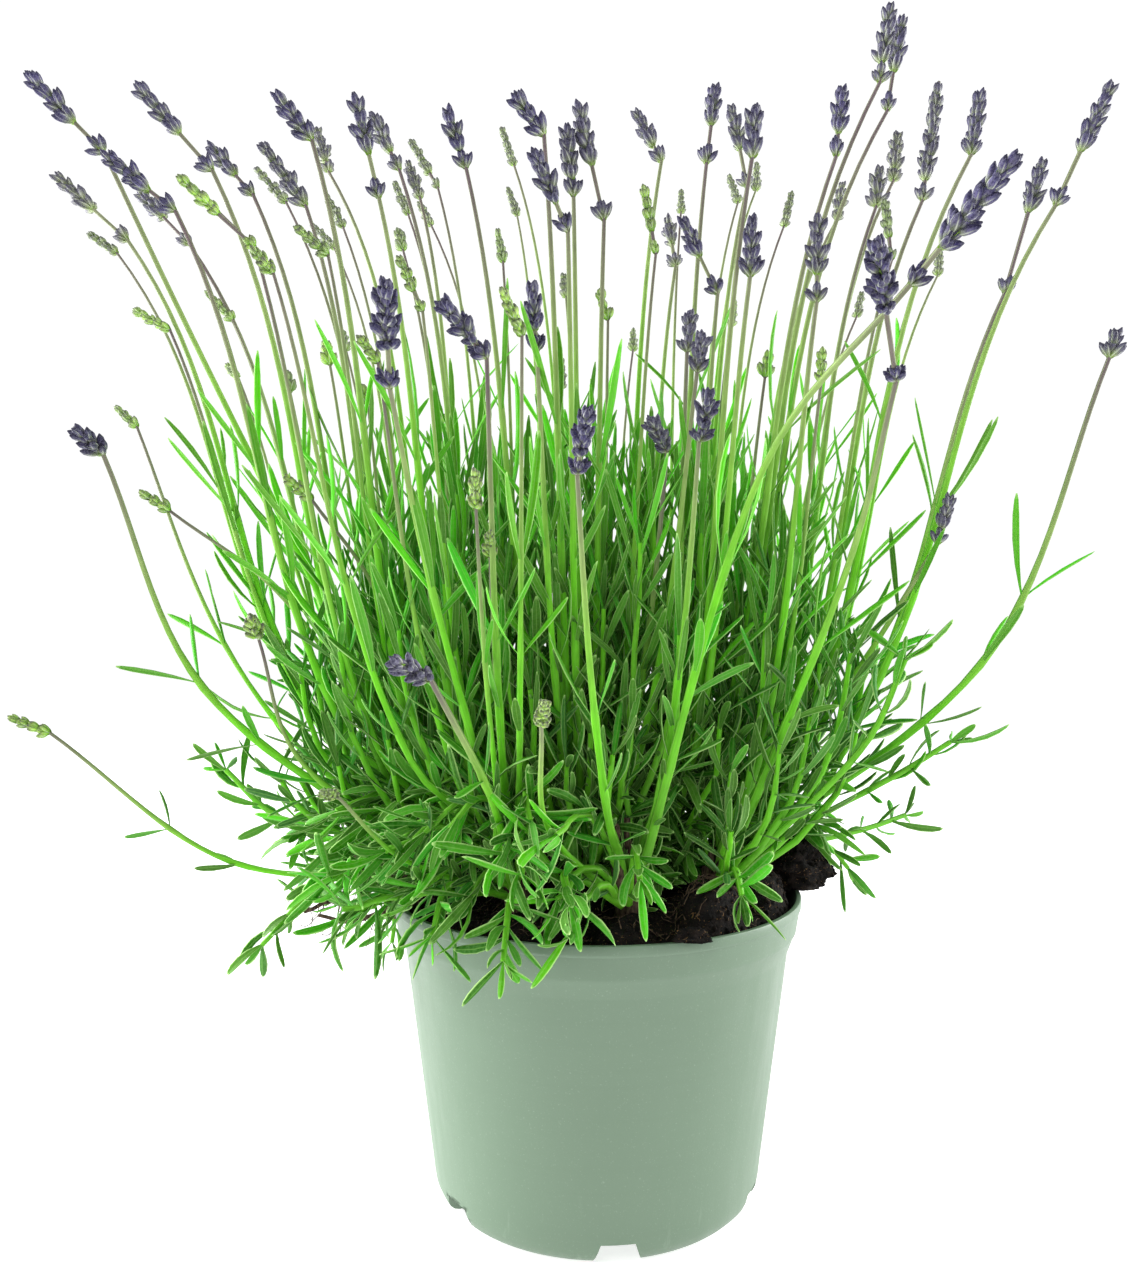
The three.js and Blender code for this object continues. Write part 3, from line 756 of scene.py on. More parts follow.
soilMound = {"rings": 64, "sides": 200, "roughness": 0.95, "sharpFrom": 50, "brimIn": 1.4,
             "brimFade": 5, "dark": paint(12, 10, 9), "light": paint(40, 30, 24),
             "fibre": paint(150, 116, 76),
             # lumps of root ball: x, y, reach and rise
             "lumps": [(43, -60, 17, 17), (66, -26, 17, 14), (-58, -8, 18, 7), (8, -70, 13, 4),
                       (66, 20, 24, 13)]}
rootClod = {"place": (82, 4, 132), "halfWidths": (19, 17, 13), "fineness": 5, "overRim": 0.4}
rimCrumb = {"place": (32, -80.5, 124.5), "halfWidths": (6.5, 3.6, 3.6), "fineness": 5,
            "overRim": 0.4}
crumbs = {"Density": 95000.0, "Crumb Size": 0.0015, "Seed": 4}


def groundTop(x, y):
    # the soil's own top: the mound with steep lumps of root ball on it
    height = soilTop(x, y)
    for lumpX, lumpY, reach, rise in soilMound["lumps"]:
        near = 1 - ((x - lumpX) ** 2 + (y - lumpY) ** 2) / reach ** 2
        if near > 0:
            height += rise * near * near * (3 - 2 * near)
    return height


def peatMaterial():
    material, inputs = newMaterial("peat", Roughness=soilMound["roughness"],
                                   Specular_IOR_Level=0.2)
    place = objectPlace()
    coarse = clouds(place, 240.0, 6.0, 0.7)
    base = mixColor(ramp(coarse, 0.45, 0.72), soilMound["dark"], soilMound["light"])
    fibre = ramp(clouds(place, 520.0, 2.0, distortion=2.2), 0.66, 0.7)
    color = mixColor(times(fibre, 0.6), uneven(base, 45.0, 0.7), soilMound["fibre"])
    return finishMaterial(material, inputs, color,
                          timesPlus(coarse, 2.0, grain(700.0)), 0.0012, 0.9)


def makeSoil(peat):
    rings, edge = soilMound["rings"], soil["edge"]
    gap = pot["wall"] + soil["gap"] * 0.4
    brim = pot["rim"] - gap - soilMound["brimIn"]
    under = [(0, gap), (pot["foot"] - gap, gap), (pot["foot"] + 2.4 - gap, 3),
             (pot["shoulder"] - gap, 9.5), (pot["waist"] - gap, stepFoot - 0.5),
             (brim, bandFoot + 1)]
    top = [(brim * (1 - k / rings) ** 0.9, edge) for k in range(rings)] + [(0, edge)]
    mesh = latheMesh("soilMound", under + top, soilMound["sides"])
    for corner in mesh.vertices:
        x, y, z = corner.co / mm
        if z < edge - 1:
            continue
        rough = noise.fractal(Vector((x, y, 3)) * 0.12, 0.8, 2.1, 4) * 1.5
        rough += noise.fractal(Vector((x, y, 9)) * 0.5, 0.7, 2.0, 3) * 0.7
        fade = clamp((brim - math.hypot(x, y)) / soilMound["brimFade"], 0, 1)
        corner.co.z = mix(edge - 1.5 + 0.6 * rough, groundTop(x, y) + rough, fade) * mm
    piece = newObject("soilMound", mesh)
    for angle in notchAngles:
        carve(piece, wedgeMesh(gap, angle), "DIFFERENCE")
    cover(smooth(piece.data, soilMound["sharpFrom"]), peat)
    settle(piece, "peat", "soil")
    return piece


def makeClod(name, clod, peat):
    # a clod of root ball that leans out over the rim
    work = bmesh.new()
    bmesh.ops.create_icosphere(work, subdivisions=clod["fineness"], radius=1.0)
    for corner in work.verts:
        way = corner.co.normalized()
        swell = 1 + 0.34 * noise.fractal(way * 1.6 + Vector((5, 2, 8)), 0.8, 2.1, 4)
        swell += 0.08 * noise.fractal(way * 7, 0.8, 2.0, 3)
        x, y, z = [middle + size * part * swell
                   for middle, size, part in zip(clod["place"], clod["halfWidths"], way)]
        if math.hypot(x, y) > pot["rim"] - 5:
            z = max(z, pot["height"] + clod["overRim"])
        corner.co = Vector((x, y, z)) * mm
    piece = newObject(name, cover(smooth(meshFrom(work, name)), peat))
    settle(piece, "peat")
    return piece


def randomVector(seed, low, high):
    return functionNode("RandomValue", {"Seed": seed, 0: low, 1: high}, data_type="FLOAT_VECTOR")


def crumbTree():
    given, result = newTree("scatteredCrumbs", "GeometryNodeTree", {
        "Geometry": None, "Density": 60000.0, "Crumb Size": 0.0015, "Seed": 1, "Material": None},
        "Geometry")
    up = addNode("ShaderNodeSeparateXYZ", {0: geometryNode("InputNormal")}).outputs["Z"]
    spots = geometryNode("DistributePointsOnFaces", {
        "Mesh": given["Geometry"], "Density": given["Density"], "Seed": given["Seed"],
        "Selection": maths("GREATER_THAN", up, 0.2)})
    turn = randomVector(given["Seed"], (0, 0, 0), (6.28, 6.28, 6.28))
    size = randomVector(plus(given["Seed"], 7), (0.25, 0.2, 0.2), (1.15, 0.85, 0.7))
    scale = shaderNode("VectorMath", {0: size, "Scale": given["Crumb Size"]}, operation="SCALE")
    placed = geometryNode("InstanceOnPoints", {
        "Points": spots, "Rotation": turn, "Scale": scale,
        "Instance": geometryNode("MeshIcoSphere", {"Radius": 1.0, "Subdivisions": 1})})
    return finishTree(placed, given, result)


def makeAllSoil():
    peat = peatMaterial()
    mound = makeSoil(peat)
    clod = makeClod("rootClod", rootClod, peat)
    makeClod("rimCrumb", rimCrumb, peat)
    tree = crumbTree()
    for name, piece in (("soilCrumbs", mound), ("clodCrumbs", clod)):
        settle(grow(name, piece.data.copy(), tree, peat, crumbs), "peat")


makeAllSoil()
print("soil made")

# ---- blades and stalks along lines

def alongTree(name, sectionPoints):
    # sweeps a section along every line of the seed: a flat blade with rolled margins, or a stalk
    given, result = newTree(name, "GeometryNodeTree", {
        "Geometry": None, "Thickness": 1.0, "Margin Roll": 0.0, "Midrib Groove": 0.0,
        "Squareness": 0.0, "Material": None}, "Geometry")
    line = geometryNode("MeshToCurve", {0: given["Geometry"]})
    line = store(line, "along", geometryNode("SplineParameter"))
    side = attribute("side", "FLOAT_VECTOR")
    line = geometryNode("SetCurveNormal", {"Curve": line, "Normal": side}, mode="FREE")
    spot = addNode("ShaderNodeSeparateXYZ", {0: geometryNode("InputPosition")})
    x, y = spot.outputs["X"], spot.outputs["Y"]
    corner = timesPlus(times(times(times(x, x), times(y, y)), 4.0), given["Squareness"], 1.0)
    tall = times(times(y, corner), given["Thickness"])
    rolled = minus(tall, times(times(x, x), given["Margin Roll"]))
    middle = times(ramp(maths("ABSOLUTE", x), 0.35, 0.0), maths("GREATER_THAN", y, 0.5))
    grooved = minus(rolled, times(middle, given["Midrib Groove"]))
    section = store(store(circleCurve(sectionPoints), "across", x), "over", y)
    shaped = shaderNode("CombineXYZ", {0: times(x, corner), 1: grooved})
    section = geometryNode("SetPosition", {"Geometry": section, "Position": shaped})
    swept = geometryNode("CurveToMesh", {"Curve": line, "Profile Curve": section,
                                         "Scale": attribute("halfWidth"), "Fill Caps": True})
    return finishTree(swept, given, result)


bladeTree = alongTree("bladeAlongLine", 8)
stalkTree = alongTree("stalkAlongLine", 8)
hairTree = alongTree("hairAlongLine", 4)
roundStalk = {"Squareness": 0.0}
jointWidth = 0.9


def lineLength(line):
    return sum((b - a).length for a, b in zip(line, line[1:]))


def stalkPoints(line, thick, thin, joints=(), age=lambda part: 0.0, tint=0.5, swell=0.26):
    # joints are the parts of the way, 0 to 1, where leaves leave the stalk and swell it
    side = across((line[1] - line[0]).normalized())[0]
    last = len(line) - 1
    points = []
    for k, place in enumerate(line):
        part = k / last
        axis = (line[min(k + 1, last)] - line[max(k - 1, 0)]).normalized()
        side = (side - axis * side.dot(axis)).normalized()
        bulge = sum(math.exp(-((part - joint) * len(line) / jointWidth) ** 2) for joint in joints)
        width = mix(thick, thin, part) * (1 + swell * min(bulge, 1))
        points.append({"at": place, "side": side.copy(), "halfWidth": width * mm,
                       "age": age(part), "tint": tint})
    return points


noise.seed_set(5)  # noise_vector takes its offsets from the clock until this is set


def wander(line, amount, item):
    # small kinks across a line, none at its ends
    moved = []
    for k, place in enumerate(line):
        fade = min(1, k / 2, (len(line) - 1 - k) / 2)
        shift = noise.noise_vector(place * 0.09 + Vector((item * 7.1, 0, 0)))
        moved.append(place + shift * amount * fade)
    return moved


# ---- woody parts

woodyBases = {"branches": 6, "thick": 2.6, "thin": 1.5, "kinks": 1.6, "low": 16, "high": 22,
              "outFoot": 2.2, "outMiddle": 3.2, "outTop": 0.24, "lean": 0.004, "sunk": -6}
overhangingTwigs = {"thick": 2.0, "thin": 0.8, "kinks": 2.2, "farStep": 6, "rootStep": 8,
                    "rise": 11, "rooted": (0, 2),
                    # pixels of the photograph
                    "paths": [((432, 868), (402, 872), (368, 902), (330, 905), (304, 912)),
                              ((402, 872), (380, 866), (352, 872)),
                              ((440, 880), (415, 890), (385, 908), (352, 920), (318, 915)),
                              ((445, 860), (420, 852), (396, 858), (370, 848)),
                              ((448, 892), (430, 905), (404, 915), (380, 912))]}
rootHairs = {"count": 90, "soilCount": 260, "thick": 0.26, "thin": 0.1, "soilThin": 0.12,
             "step": 2.1, "droop": -0.08, "offRim": 2, "soilSteps": 7, "soilWithin": 7,
             "soilFrom": 8, "elsewhere": (0, -20, 74), "lie": 0.6, "arch": 1.6}


def barkMaterial():
    material, inputs = newMaterial("bark", Roughness=0.85, Specular_IOR_Level=0.25)
    streaks = clouds(stretched(objectPlace(), (1.0, 1.0, 0.25)), 900.0, 5.0, 0.65)
    strip = mixColor(ramp(streaks, 0.35, 0.68), paint(38, 27, 22), paint(118, 98, 80))
    return finishMaterial(material, inputs, uneven(strip, 70.0, 0.55),
                          timesPlus(streaks, 1.6, grain(1100.0, 0.4)), 0.0006, 0.8)


bark = barkMaterial()


def upBy(z):
    return Vector((0, 0, z))


def makeWoodyBases():
    values = woodyBases
    lines = []
    for i, place in enumerate(crowns):
        for k in range(values["branches"]):
            turn = k * math.tau / values["branches"] + draw(i, k)
            out = Vector((math.cos(turn), math.sin(turn), 0))
            lean = Vector((place.x, place.y, 0)) * values["lean"]
            foot = place + out * values["outFoot"] + upBy(values["sunk"])
            rise = values["low"] + values["high"] * draw(i, k + 20)
            top = place + (out * values["outTop"] + lean) * rise + upBy(rise)
            guides = [foot, place + out * values["outMiddle"] + upBy(4), top]
            line = wander(curveThrough(guides, 8), values["kinks"], i + k)
            lines.append(stalkPoints(line, values["thick"], values["thin"], (0.35, 0.7)))
    growPiece("woodyBases", lines, stalkTree, bark, roundStalk, "bark")


def makeTwigs():
    values = overhangingTwigs
    lines = []
    foot = Vector((*twig["root"], soilTop(*twig["root"]) - twig["depth"]))
    for i, path in enumerate(values["paths"]):
        guides = [sight(x, y, twig["far"] + values["farStep"] * (i % 3)) for x, y in path]
        if i in values["rooted"]:
            start = foot + Vector((0, values["rootStep"] * i, 0))
            guides = [start, start + upBy(values["rise"]), *guides]
        line = wander(curveThrough(guides, 22), values["kinks"], i)
        thick = values["thick"] * (1 - 0.13 * i)
        lines.append(stalkPoints(line, thick, values["thin"], (0.3, 0.55, 0.8), swell=0.4))
    growPiece("overhangingTwigs", lines, stalkTree, bark, roundStalk, "bark", "brown_twigs")
    return [[point["at"] for point in line] for line in lines]


def twigHair(chance, path):
    # one hair of the tangle round the overhanging twigs, up to where it meets the pot
    place = path[chance.randrange(4, len(path))].copy()
    way = Vector((chance.gauss(0, 1), chance.gauss(0, 1), chance.gauss(-0.3, 1))).normalized()
    line = [place.copy()]
    for _ in range(chance.randrange(5, 13)):
        kink = Vector([chance.gauss(0, 0.42) for _ in range(3)])
        way = (way + kink + upBy(rootHairs["droop"])).normalized()
        place = place + way * rootHairs["step"]
        overPot = math.hypot(place.x, place.y) < pot["rim"] + rootHairs["offRim"]
        if overPot and place.z < pot["height"] + rootHairs["offRim"]:
            break
        line.append(place)
    return line


def soilThread(chance, i):
    # one loose thread on the soil: every third one lies on the front lump
    lumpX, lumpY, reach = rootHairs["elsewhere"] if i % 3 else soilMound["lumps"][0][:3]
    turn, out = chance.uniform(0, math.tau), math.sqrt(chance.random()) * reach * 0.95
    x, y = lumpX + out * math.cos(turn), lumpY + out * math.sin(turn)
    line = []
    if math.hypot(x, y) > pot["rim"] - rootHairs["soilFrom"]:
        return line
    way = chance.uniform(0, math.tau)
    for k in range(rootHairs["soilSteps"]):
        x += rootHairs["step"] * math.cos(way)
        y += rootHairs["step"] * math.sin(way)
        way += chance.uniform(-0.7, 0.7)
        if math.hypot(x, y) > pot["rim"] - rootHairs["soilWithin"]:
            break
        ground = groundTop(x, y) + rootHairs["lie"]
        line.append(Vector((x, y, ground + rootHairs["arch"] * math.sin(k * 0.5) * draw(i, k))))
    return line


def makeRootHairs(twigs):
    chance = random.Random(12)
    hairs = [twigHair(chance, chance.choice(twigs)) for _ in range(rootHairs["count"])]
    threads = [soilThread(chance, i) for i in range(rootHairs["soilCount"])]
    lines = [stalkPoints(line, rootHairs["thick"], rootHairs["thin"])
             for line in hairs if len(line) > 3]
    lines += [stalkPoints(line, rootHairs["thick"], rootHairs["soilThin"])
              for line in threads if len(line) > 2]
    growPiece("rootHairs", lines, hairTree, bark, roundStalk, "bark")


makeWoodyBases()
makeRootHairs(makeTwigs())
print("woody parts made")

# ---- stems

flowerStalk = {"thick": 1.6, "thin": 0.78, "greenThick": 0.78, "greenThin": 0.72, "core": 0.6,
               "jointGap": 36, "leafTop": 325, "leafyShare": 0.66, "Squareness": 0.3}
stemLeaf = {"length": (18, 44), "opened": (0.22, 0.62), "bend": (-0.5, 0.4), "ages": (0.75, -0.1),
            "halfWidth": 1.25, "lowOpen": 0.35}


def stalkMaterial():
    material, inputs = newMaterial("greenStalk", Roughness=0.46, Specular_IOR_Level=0.2)
    # 0 at the foot, 1 under the flower head; some stems stay green up to the head
    tint, around = attribute("tint"), attribute("across")
    green = colorRamp(plus(attribute("age"), ramp(tint, 0, 1, -0.13, 0.06)), [
        (0.0, 104, 176, 46), (0.4, 104, 196, 28), (0.58, 122, 180, 60),
        (0.74, 134, 160, 90), (0.88, 122, 126, 98), (1.0, 104, 92, 94)])
    # the four ridges are where the section's x is half the root of two; the pale green painted
    # along them is a painted highlight
    fromRidge = maths("ABSOLUTE", minus(maths("ABSOLUTE", around), 0.7071))
    ridged = mixColor(times(ramp(fromRidge, 0.12, 0.0), 0.45), uneven(green, 110.0, 0.22),
                      paint(172, 214, 116))
    # fibres run lengthwise: noise over the section's own coordinates, drawn out along the stalk
    ahead = timesPlus(attribute("along"), 9.0, times(tint, 40.0))
    place = shaderNode("CombineXYZ", {0: around, 1: attribute("over"), 2: ahead})
    fibres = ramp(clouds(place, 3.2, 3.0), 0.3, 0.7, 0.84, 1.12)
    return finishMaterial(material, inputs, toned(ridged, fibres))


# ---- leaves

blade = {"Thickness": 0.2, "Margin Roll": 0.5, "Midrib Groove": 0.16}
# the blade's outline: parts of its length, and of its half width there
outline = ((0, 0.3), (0.14, 0.46), (0.34, 0.8), (0.58, 1.0), (0.8, 0.9), (0.94, 0.58), (1.0, 0.2))
clear = {"floor": 4, "clod": 1.5, "soil": 1.5, "rim": 1.5, "rimIn": 5, "rimOut": 2.5, "soilIn": 3}
# litFrom, litOver, litAbove and litRise set how far out and how high a leaf must be before its tint
# is no longer held down as painted shade
leafing = {"low": 150, "high": 270, "litFrom": 25, "litOver": 55, "litAbove": 190, "litRise": 80,
           "tries": 3, "fullLength": 36}


def leafMaterial(name, stops, rimShare):
    material, inputs = newMaterial(name, Roughness=0.5, Specular_IOR_Level=0.12)
    # a low tint makes a leaf darker: tone that differs at random, and for leaves deep in the bush
    # also painted shade
    tint = attribute("tint")
    green = toned(colorRamp(attribute("age"), stops), ramp(tint, 0, 1, 0.46, 1.34),
                  ramp(tint, 0, 1, 0.49, 0.508), ramp(tint, 0.5, 1, 1.2, 0.98))
    wide = maths("ABSOLUTE", attribute("across"))
    under = times(ramp(attribute("over"), 0.05, -0.3), 0.3)
    pale = mixColor(under, uneven(green, 160.0, 0.16), paint(112, 158, 70))
    veined = mixColor(times(ramp(wide, 0.16, 0.02), 0.35), pale, paint(140, 190, 90))
    # the margins and the tip are painted paler: partly the pale hairs of the rolled margin, partly
    # painted highlight
    rim = maths("MAXIMUM", ramp(wide, 0.76, 0.98), ramp(attribute("along"), 0.94, 1.0))
    paleAndLitMargin = mixColor(times(rim, rimShare), veined, paint(182, 224, 136))
    felted = downy(paleAndLitMargin, 0.16 * rimShare, 900.0, paint(128, 176, 104))
    return finishMaterial(material, inputs, felted, grain(1300.0), 0.00025, 0.5)


def leafLine(root, axis, out, length, halfWidth, opened, bend, twist, age, tint):
    # a leaf's middle line: it leaves the stalk at an angle and bends on its way, in radians
    side = axis.cross(out).normalized()
    points = []
    place = root.copy()
    before = 0.0
    for part, share in outline:
        angle = opened + bend * part
        ahead = (axis * math.cos(angle) + out * math.sin(angle)).normalized()
        place = place + ahead * length * (part - before)
        before = part
        wide = (Matrix.Rotation(twist * (0.4 + part), 3, ahead) @ side).normalized()
        points.append({"at": place, "side": wide, "halfWidth": halfWidth * share * mm,
                       "age": age, "tint": tint})
    return points


def isFree(points):
    # off the floor, the clod, the soil and the pot
    for point in points[1:]:
        x, y, z = place = point["at"]
        reach = math.hypot(x, y)
        clod = zip(place, rootClod["place"], rootClod["halfWidths"])
        overSoil = reach < pot["rim"] - clear["soilIn"]
        overRim = pot["rim"] - clear["rimIn"] <= reach < pot["rim"] + clear["rimOut"]
        if (z < clear["floor"] or sum(((a - b) / c) ** 2 for a, b, c in clod) < clear["clod"]
                or overSoil and z < groundTop(x, y) + clear["soil"]
                or overRim and z < pot["height"] + clear["rim"]):
            return False
    return True


def placeAt(line, part):
    k = min(int(part * (len(line) - 1)), len(line) - 2)
    place = line[k].lerp(line[k + 1], part * (len(line) - 1) - k)
    return place, (line[k + 1] - line[k]).normalized()


def leafPairs(line, joints, seed, leaf):
    # opposite leaves at each joint, every pair turned a quarter from the last; with lowOpen the
    # low leaves are shorter and broader and stand further out than the high ones
    made = []
    chance = random.Random(seed)
    start = chance.uniform(0, math.pi)
    lowOpen = leaf.get("lowOpen", 0.0)
    for level, part in enumerate(joints):
        place, axis = placeAt(line, part)
        right, front = across(axis)
        low = clamp((leafing["high"] - place.z) / (leafing["high"] - leafing["low"]), 0, 1)
        # leaves far out or high up may take the full tint, those deep in the bush only a low one:
        # partly darker older leaves, partly painted shade
        outside = (math.hypot(place.x, place.y) - leafing["litFrom"]) / leafing["litOver"]
        above = (place.z - leafing["litAbove"]) / leafing["litRise"]
        light = max(clamp(outside, 0, 1), clamp(above, 0, 1))
        grown = (1 - low if lowOpen else part) if len(joints) > 1 else 0.5
        for k in range(2):
            for _ in range(leafing["tries"]):
                turn = start + level * math.pi / 2 + k * math.tau / 2 + chance.gauss(0, 0.28)
                out = right * math.cos(turn) + front * math.sin(turn)
                length = mix(*leaf["length"], grown) * chance.uniform(0.72, 1.25)
                halfWidth = leaf["halfWidth"] * chance.uniform(0.8, 1.15)
                halfWidth *= 0.55 + 0.45 * length / leafing["fullLength"]
                points = leafLine(
                    place, axis, out, length, halfWidth * (1 + 1.6 * lowOpen * low),
                    mix(*leaf["opened"], chance.random()) + lowOpen * low,
                    mix(*leaf["bend"], chance.random()) * (1 + 2 * lowOpen * low),
                    chance.gauss(0, 0.5),
                    clamp(mix(*leaf["ages"], grown) + chance.gauss(0, 0.13), 0, 1),
                    chance.random() * (0.2 + 0.8 * light))
                if isFree(points):
                    made.append(points)
                    break
    return made


def growHalves(name, leaves, material):
    # the left and the right half of the bush apart, so that no piece grows too heavy
    for half, onRight in (("Left", False), ("Right", True)):
        own = [leaf for leaf in leaves if (leaf[0]["at"].x > bush["aside"]) == onRight]
        growPiece(name + half, own, bladeTree, material, blade, "foliage")


def stemPlan():
    # the flowering stems with their leaves
    stalks, leaves = [], []
    for flower in flowers:
        line, isGreen = flower["line"], flower["hue"] == "green"
        chance = random.Random(500 + flower["row"])
        length = lineLength(line)
        walked = chance.uniform(14, 30)
        joints = []
        while walked < length * flowerStalk["leafyShare"]:
            part = walked / length
            if placeAt(line, part)[0].z < flowerStalk["leafTop"]:
                joints.append(part)
            walked += flowerStalk["jointGap"] * chance.uniform(0.7, 1.25) * (0.6 + part)
        thick = flowerStalk["thick"] * (flowerStalk["greenThick"] if isGreen else 1)
        thin = flowerStalk["thin"] * (flowerStalk["greenThin"] if isGreen else 1)
        points = stalkPoints(line, thick, thin, joints, lambda part: part, chance.random())
        for place, width in ((flower["foot"], 0.8),
                             (flower["tip"] - flower["axis"] * 3, flowerStalk["core"])):
            if (place - points[-1]["at"]).length > 0.5:
                points.append({**points[-1], "at": place, "halfWidth": width * mm, "age": 1.0})
        stalks.append(points)
        leaves += leafPairs(line, joints, flower["row"], stemLeaf)
    return stalks, leaves


bush = {"shoots": 156, "wide": 129, "deep": 118, "front": 76, "aside": -9, "low": 196, "high": 284,
        "dome": 2.2, "lower": -46, "higher": 24, "gather": 1.9, "goldenAngle": 2.39996,
        "thick": 1.35, "thin": 0.7, "kinks": 2.4, "jointGap": 15, "bare": 0.22}
shootLeaf = {**stemLeaf, "length": (17, 42), "opened": (0.18, 0.6)}


def shootPlan():
    # leafy shoots without flowers, spread over the whole bush by the golden angle
    stalks, leaves = [], []
    for k in range(bush["shoots"]):
        chance = random.Random(900 + k)
        reach = math.sqrt((k + 0.5) / bush["shoots"])
        angle = k * bush["goldenAngle"]
        height = mix(bush["high"], bush["low"], reach ** bush["dome"])
        height += chance.uniform(bush["lower"], bush["higher"])
        deep = bush["deep"] if math.sin(angle) > 0 else bush["front"]
        top = Vector((bush["aside"] + bush["wide"] * reach * math.cos(angle),
                      deep * reach * math.sin(angle), height))
        place = min(crowns, key=lambda spot: (spot * bush["gather"] - top).xy.length)
        guides = [place + upBy(4)]
        for part in (0.25, 0.5, 0.75, 1.0):
            spot = place.lerp(top, 1 - (1 - part) ** 1.8)
            spot.z = mix(max(place.z, 128) + 4, height, part ** 1.25)
            guides.append(spot)
        line = wander(curveThrough(guides, 7), bush["kinks"], k)
        count = int(clamp(lineLength(line) / bush["jointGap"], 5, 9))
        first = bush["bare"] + bush["bare"] * reach
        joints = [first + (1 - first) * (i + 0.4) / count for i in range(count)] + [0.995]
        stalks.append(stalkPoints(line, bush["thick"], bush["thin"], joints,
                                  lambda part: 0.08 + 0.3 * part, chance.random()))
        young = 0.55 - 0.45 * clamp((height - 150) / 130, 0, 1)
        leaves += leafPairs(line, joints, 40 + k, {**shootLeaf, "ages": (1.0, young)})
    return stalks, leaves


sprigLeaf = {"length": (11, 20), "opened": (0.5, 1.15), "bend": (-1.2, 0.9), "ages": (0.75, 0.3),
             "halfWidth": 2.3}
tipLeaf = {"length": (9, 13), "opened": (0.2, 0.6), "bend": (-0.3, 0.3), "ages": (0.2, 0.1),
           "halfWidth": 2.0}
tuftLeaf = {"length": (11, 25), "opened": (0.3, 1.1), "bend": (-1.5, 1.2), "ages": (1.0, 0.3),
            "halfWidth": 1.95}
lowGrowth = {"tufts": 160, "near": 40, "far": 118, "rightFar": 97, "bareFrom": -92, "bareTo": -20,
             "bareNear": 30, "bareFar": 58, "liftAngle": 0.5, "liftFrom": 60, "lift": 24,
             "aside": 6, "squash": 0.95, "high": 150, "low": 132, "gather": 1.25, "kinks": 2.6,
             "joints": [0.34, 0.52, 0.68, 0.82, 0.93, 1.0]}


def sprigPlan():
    # short sprigs at and over the rim: the sighted ones, then a tangle of others by rule
    stalks, leaves = [], []
    for i, (x, y, far, *bow, pairs) in enumerate(leafySprigs):
        end = sight(x, y, far)
        line = stemLine(min(crowns, key=lambda spot: (spot - end).length), end, 18, bow)
        joints = [1 - 0.095 * k for k in range(pairs + 3)][::-1]
        stalks.append(stalkPoints(line, 1.3, 0.75, joints, lambda part: 0.2))
        leaves += leafPairs(line, joints, 300 + i, sprigLeaf)
        leaves += leafPairs(line, joints[-1:], 340 + i, tipLeaf)
    values = lowGrowth
    for k in range(values["tufts"]):
        chance = random.Random(1300 + k)
        angle = chance.uniform(-math.pi, math.pi)
        far = mix(values["far"], values["rightFar"], (1 + math.cos(angle)) / 2)
        reach = mix(values["near"], far, math.sqrt(chance.random()))
        isBare = values["bareFrom"] < math.degrees(angle) < values["bareTo"]
        if isBare and reach > values["bareFar"]:
            reach = chance.uniform(values["bareNear"], values["bareFar"])
        top = Vector((reach * math.cos(angle) - values["aside"],
                      reach * math.sin(angle) * values["squash"], 0))
        top.z = mix(values["high"], values["low"], reach / values["far"]) + chance.uniform(-12, 34)
        if abs(angle) < values["liftAngle"] and reach > values["liftFrom"]:
            top.z += values["lift"]
        place = min(crowns, key=lambda spot: (spot * values["gather"] - top).xy.length)
        middle = place.lerp(top, 0.55)
        middle.z = max(place.z, top.z) + chance.uniform(2, 12)
        line = wander(curveThrough([place + upBy(3), middle, top], 12), values["kinks"], k + 60)
        stalks.append(stalkPoints(line, 1.2, 0.7, values["joints"], lambda part: 0.12,
                                  chance.random()))
        leaves += leafPairs(line, values["joints"], 1400 + k, tuftLeaf)
    return stalks, leaves


def nodesNamed(start):
    return [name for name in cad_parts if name.startswith(start)]


def makeGreen():
    stalk = stalkMaterial()
    young = leafMaterial("youngLeaf", [(0.0, 84, 184, 16), (0.3, 62, 164, 12), (0.65, 44, 124, 20),
                                       (1.0, 52, 96, 42)], 0.7)
    felted = leafMaterial("feltedLeaf", [(0.0, 92, 192, 22), (0.35, 60, 148, 22),
                                         (0.7, 48, 106, 34), (1.0, 74, 116, 70)], 0.95)
    ridged = {"Squareness": flowerStalk["Squareness"]}
    stalks, leaves = stemPlan()
    growPiece("flowerStalks", stalks, stalkTree, stalk, ridged, "foliage", *nodesNamed("spray_"))
    growPiece("stemLeaves", leaves, bladeTree, young, blade, "foliage")
    stalks, leaves = shootPlan()
    growPiece("leafyShoots", stalks, stalkTree, stalk, ridged, "foliage")
    growHalves("shootLeaves", leaves, young)
    stalks, leaves = sprigPlan()
    growPiece("rimSprigs", stalks, stalkTree, stalk, ridged, "foliage")
    growHalves("sprigLeaves", leaves, felted)


makeGreen()
print("stems and leaves made")
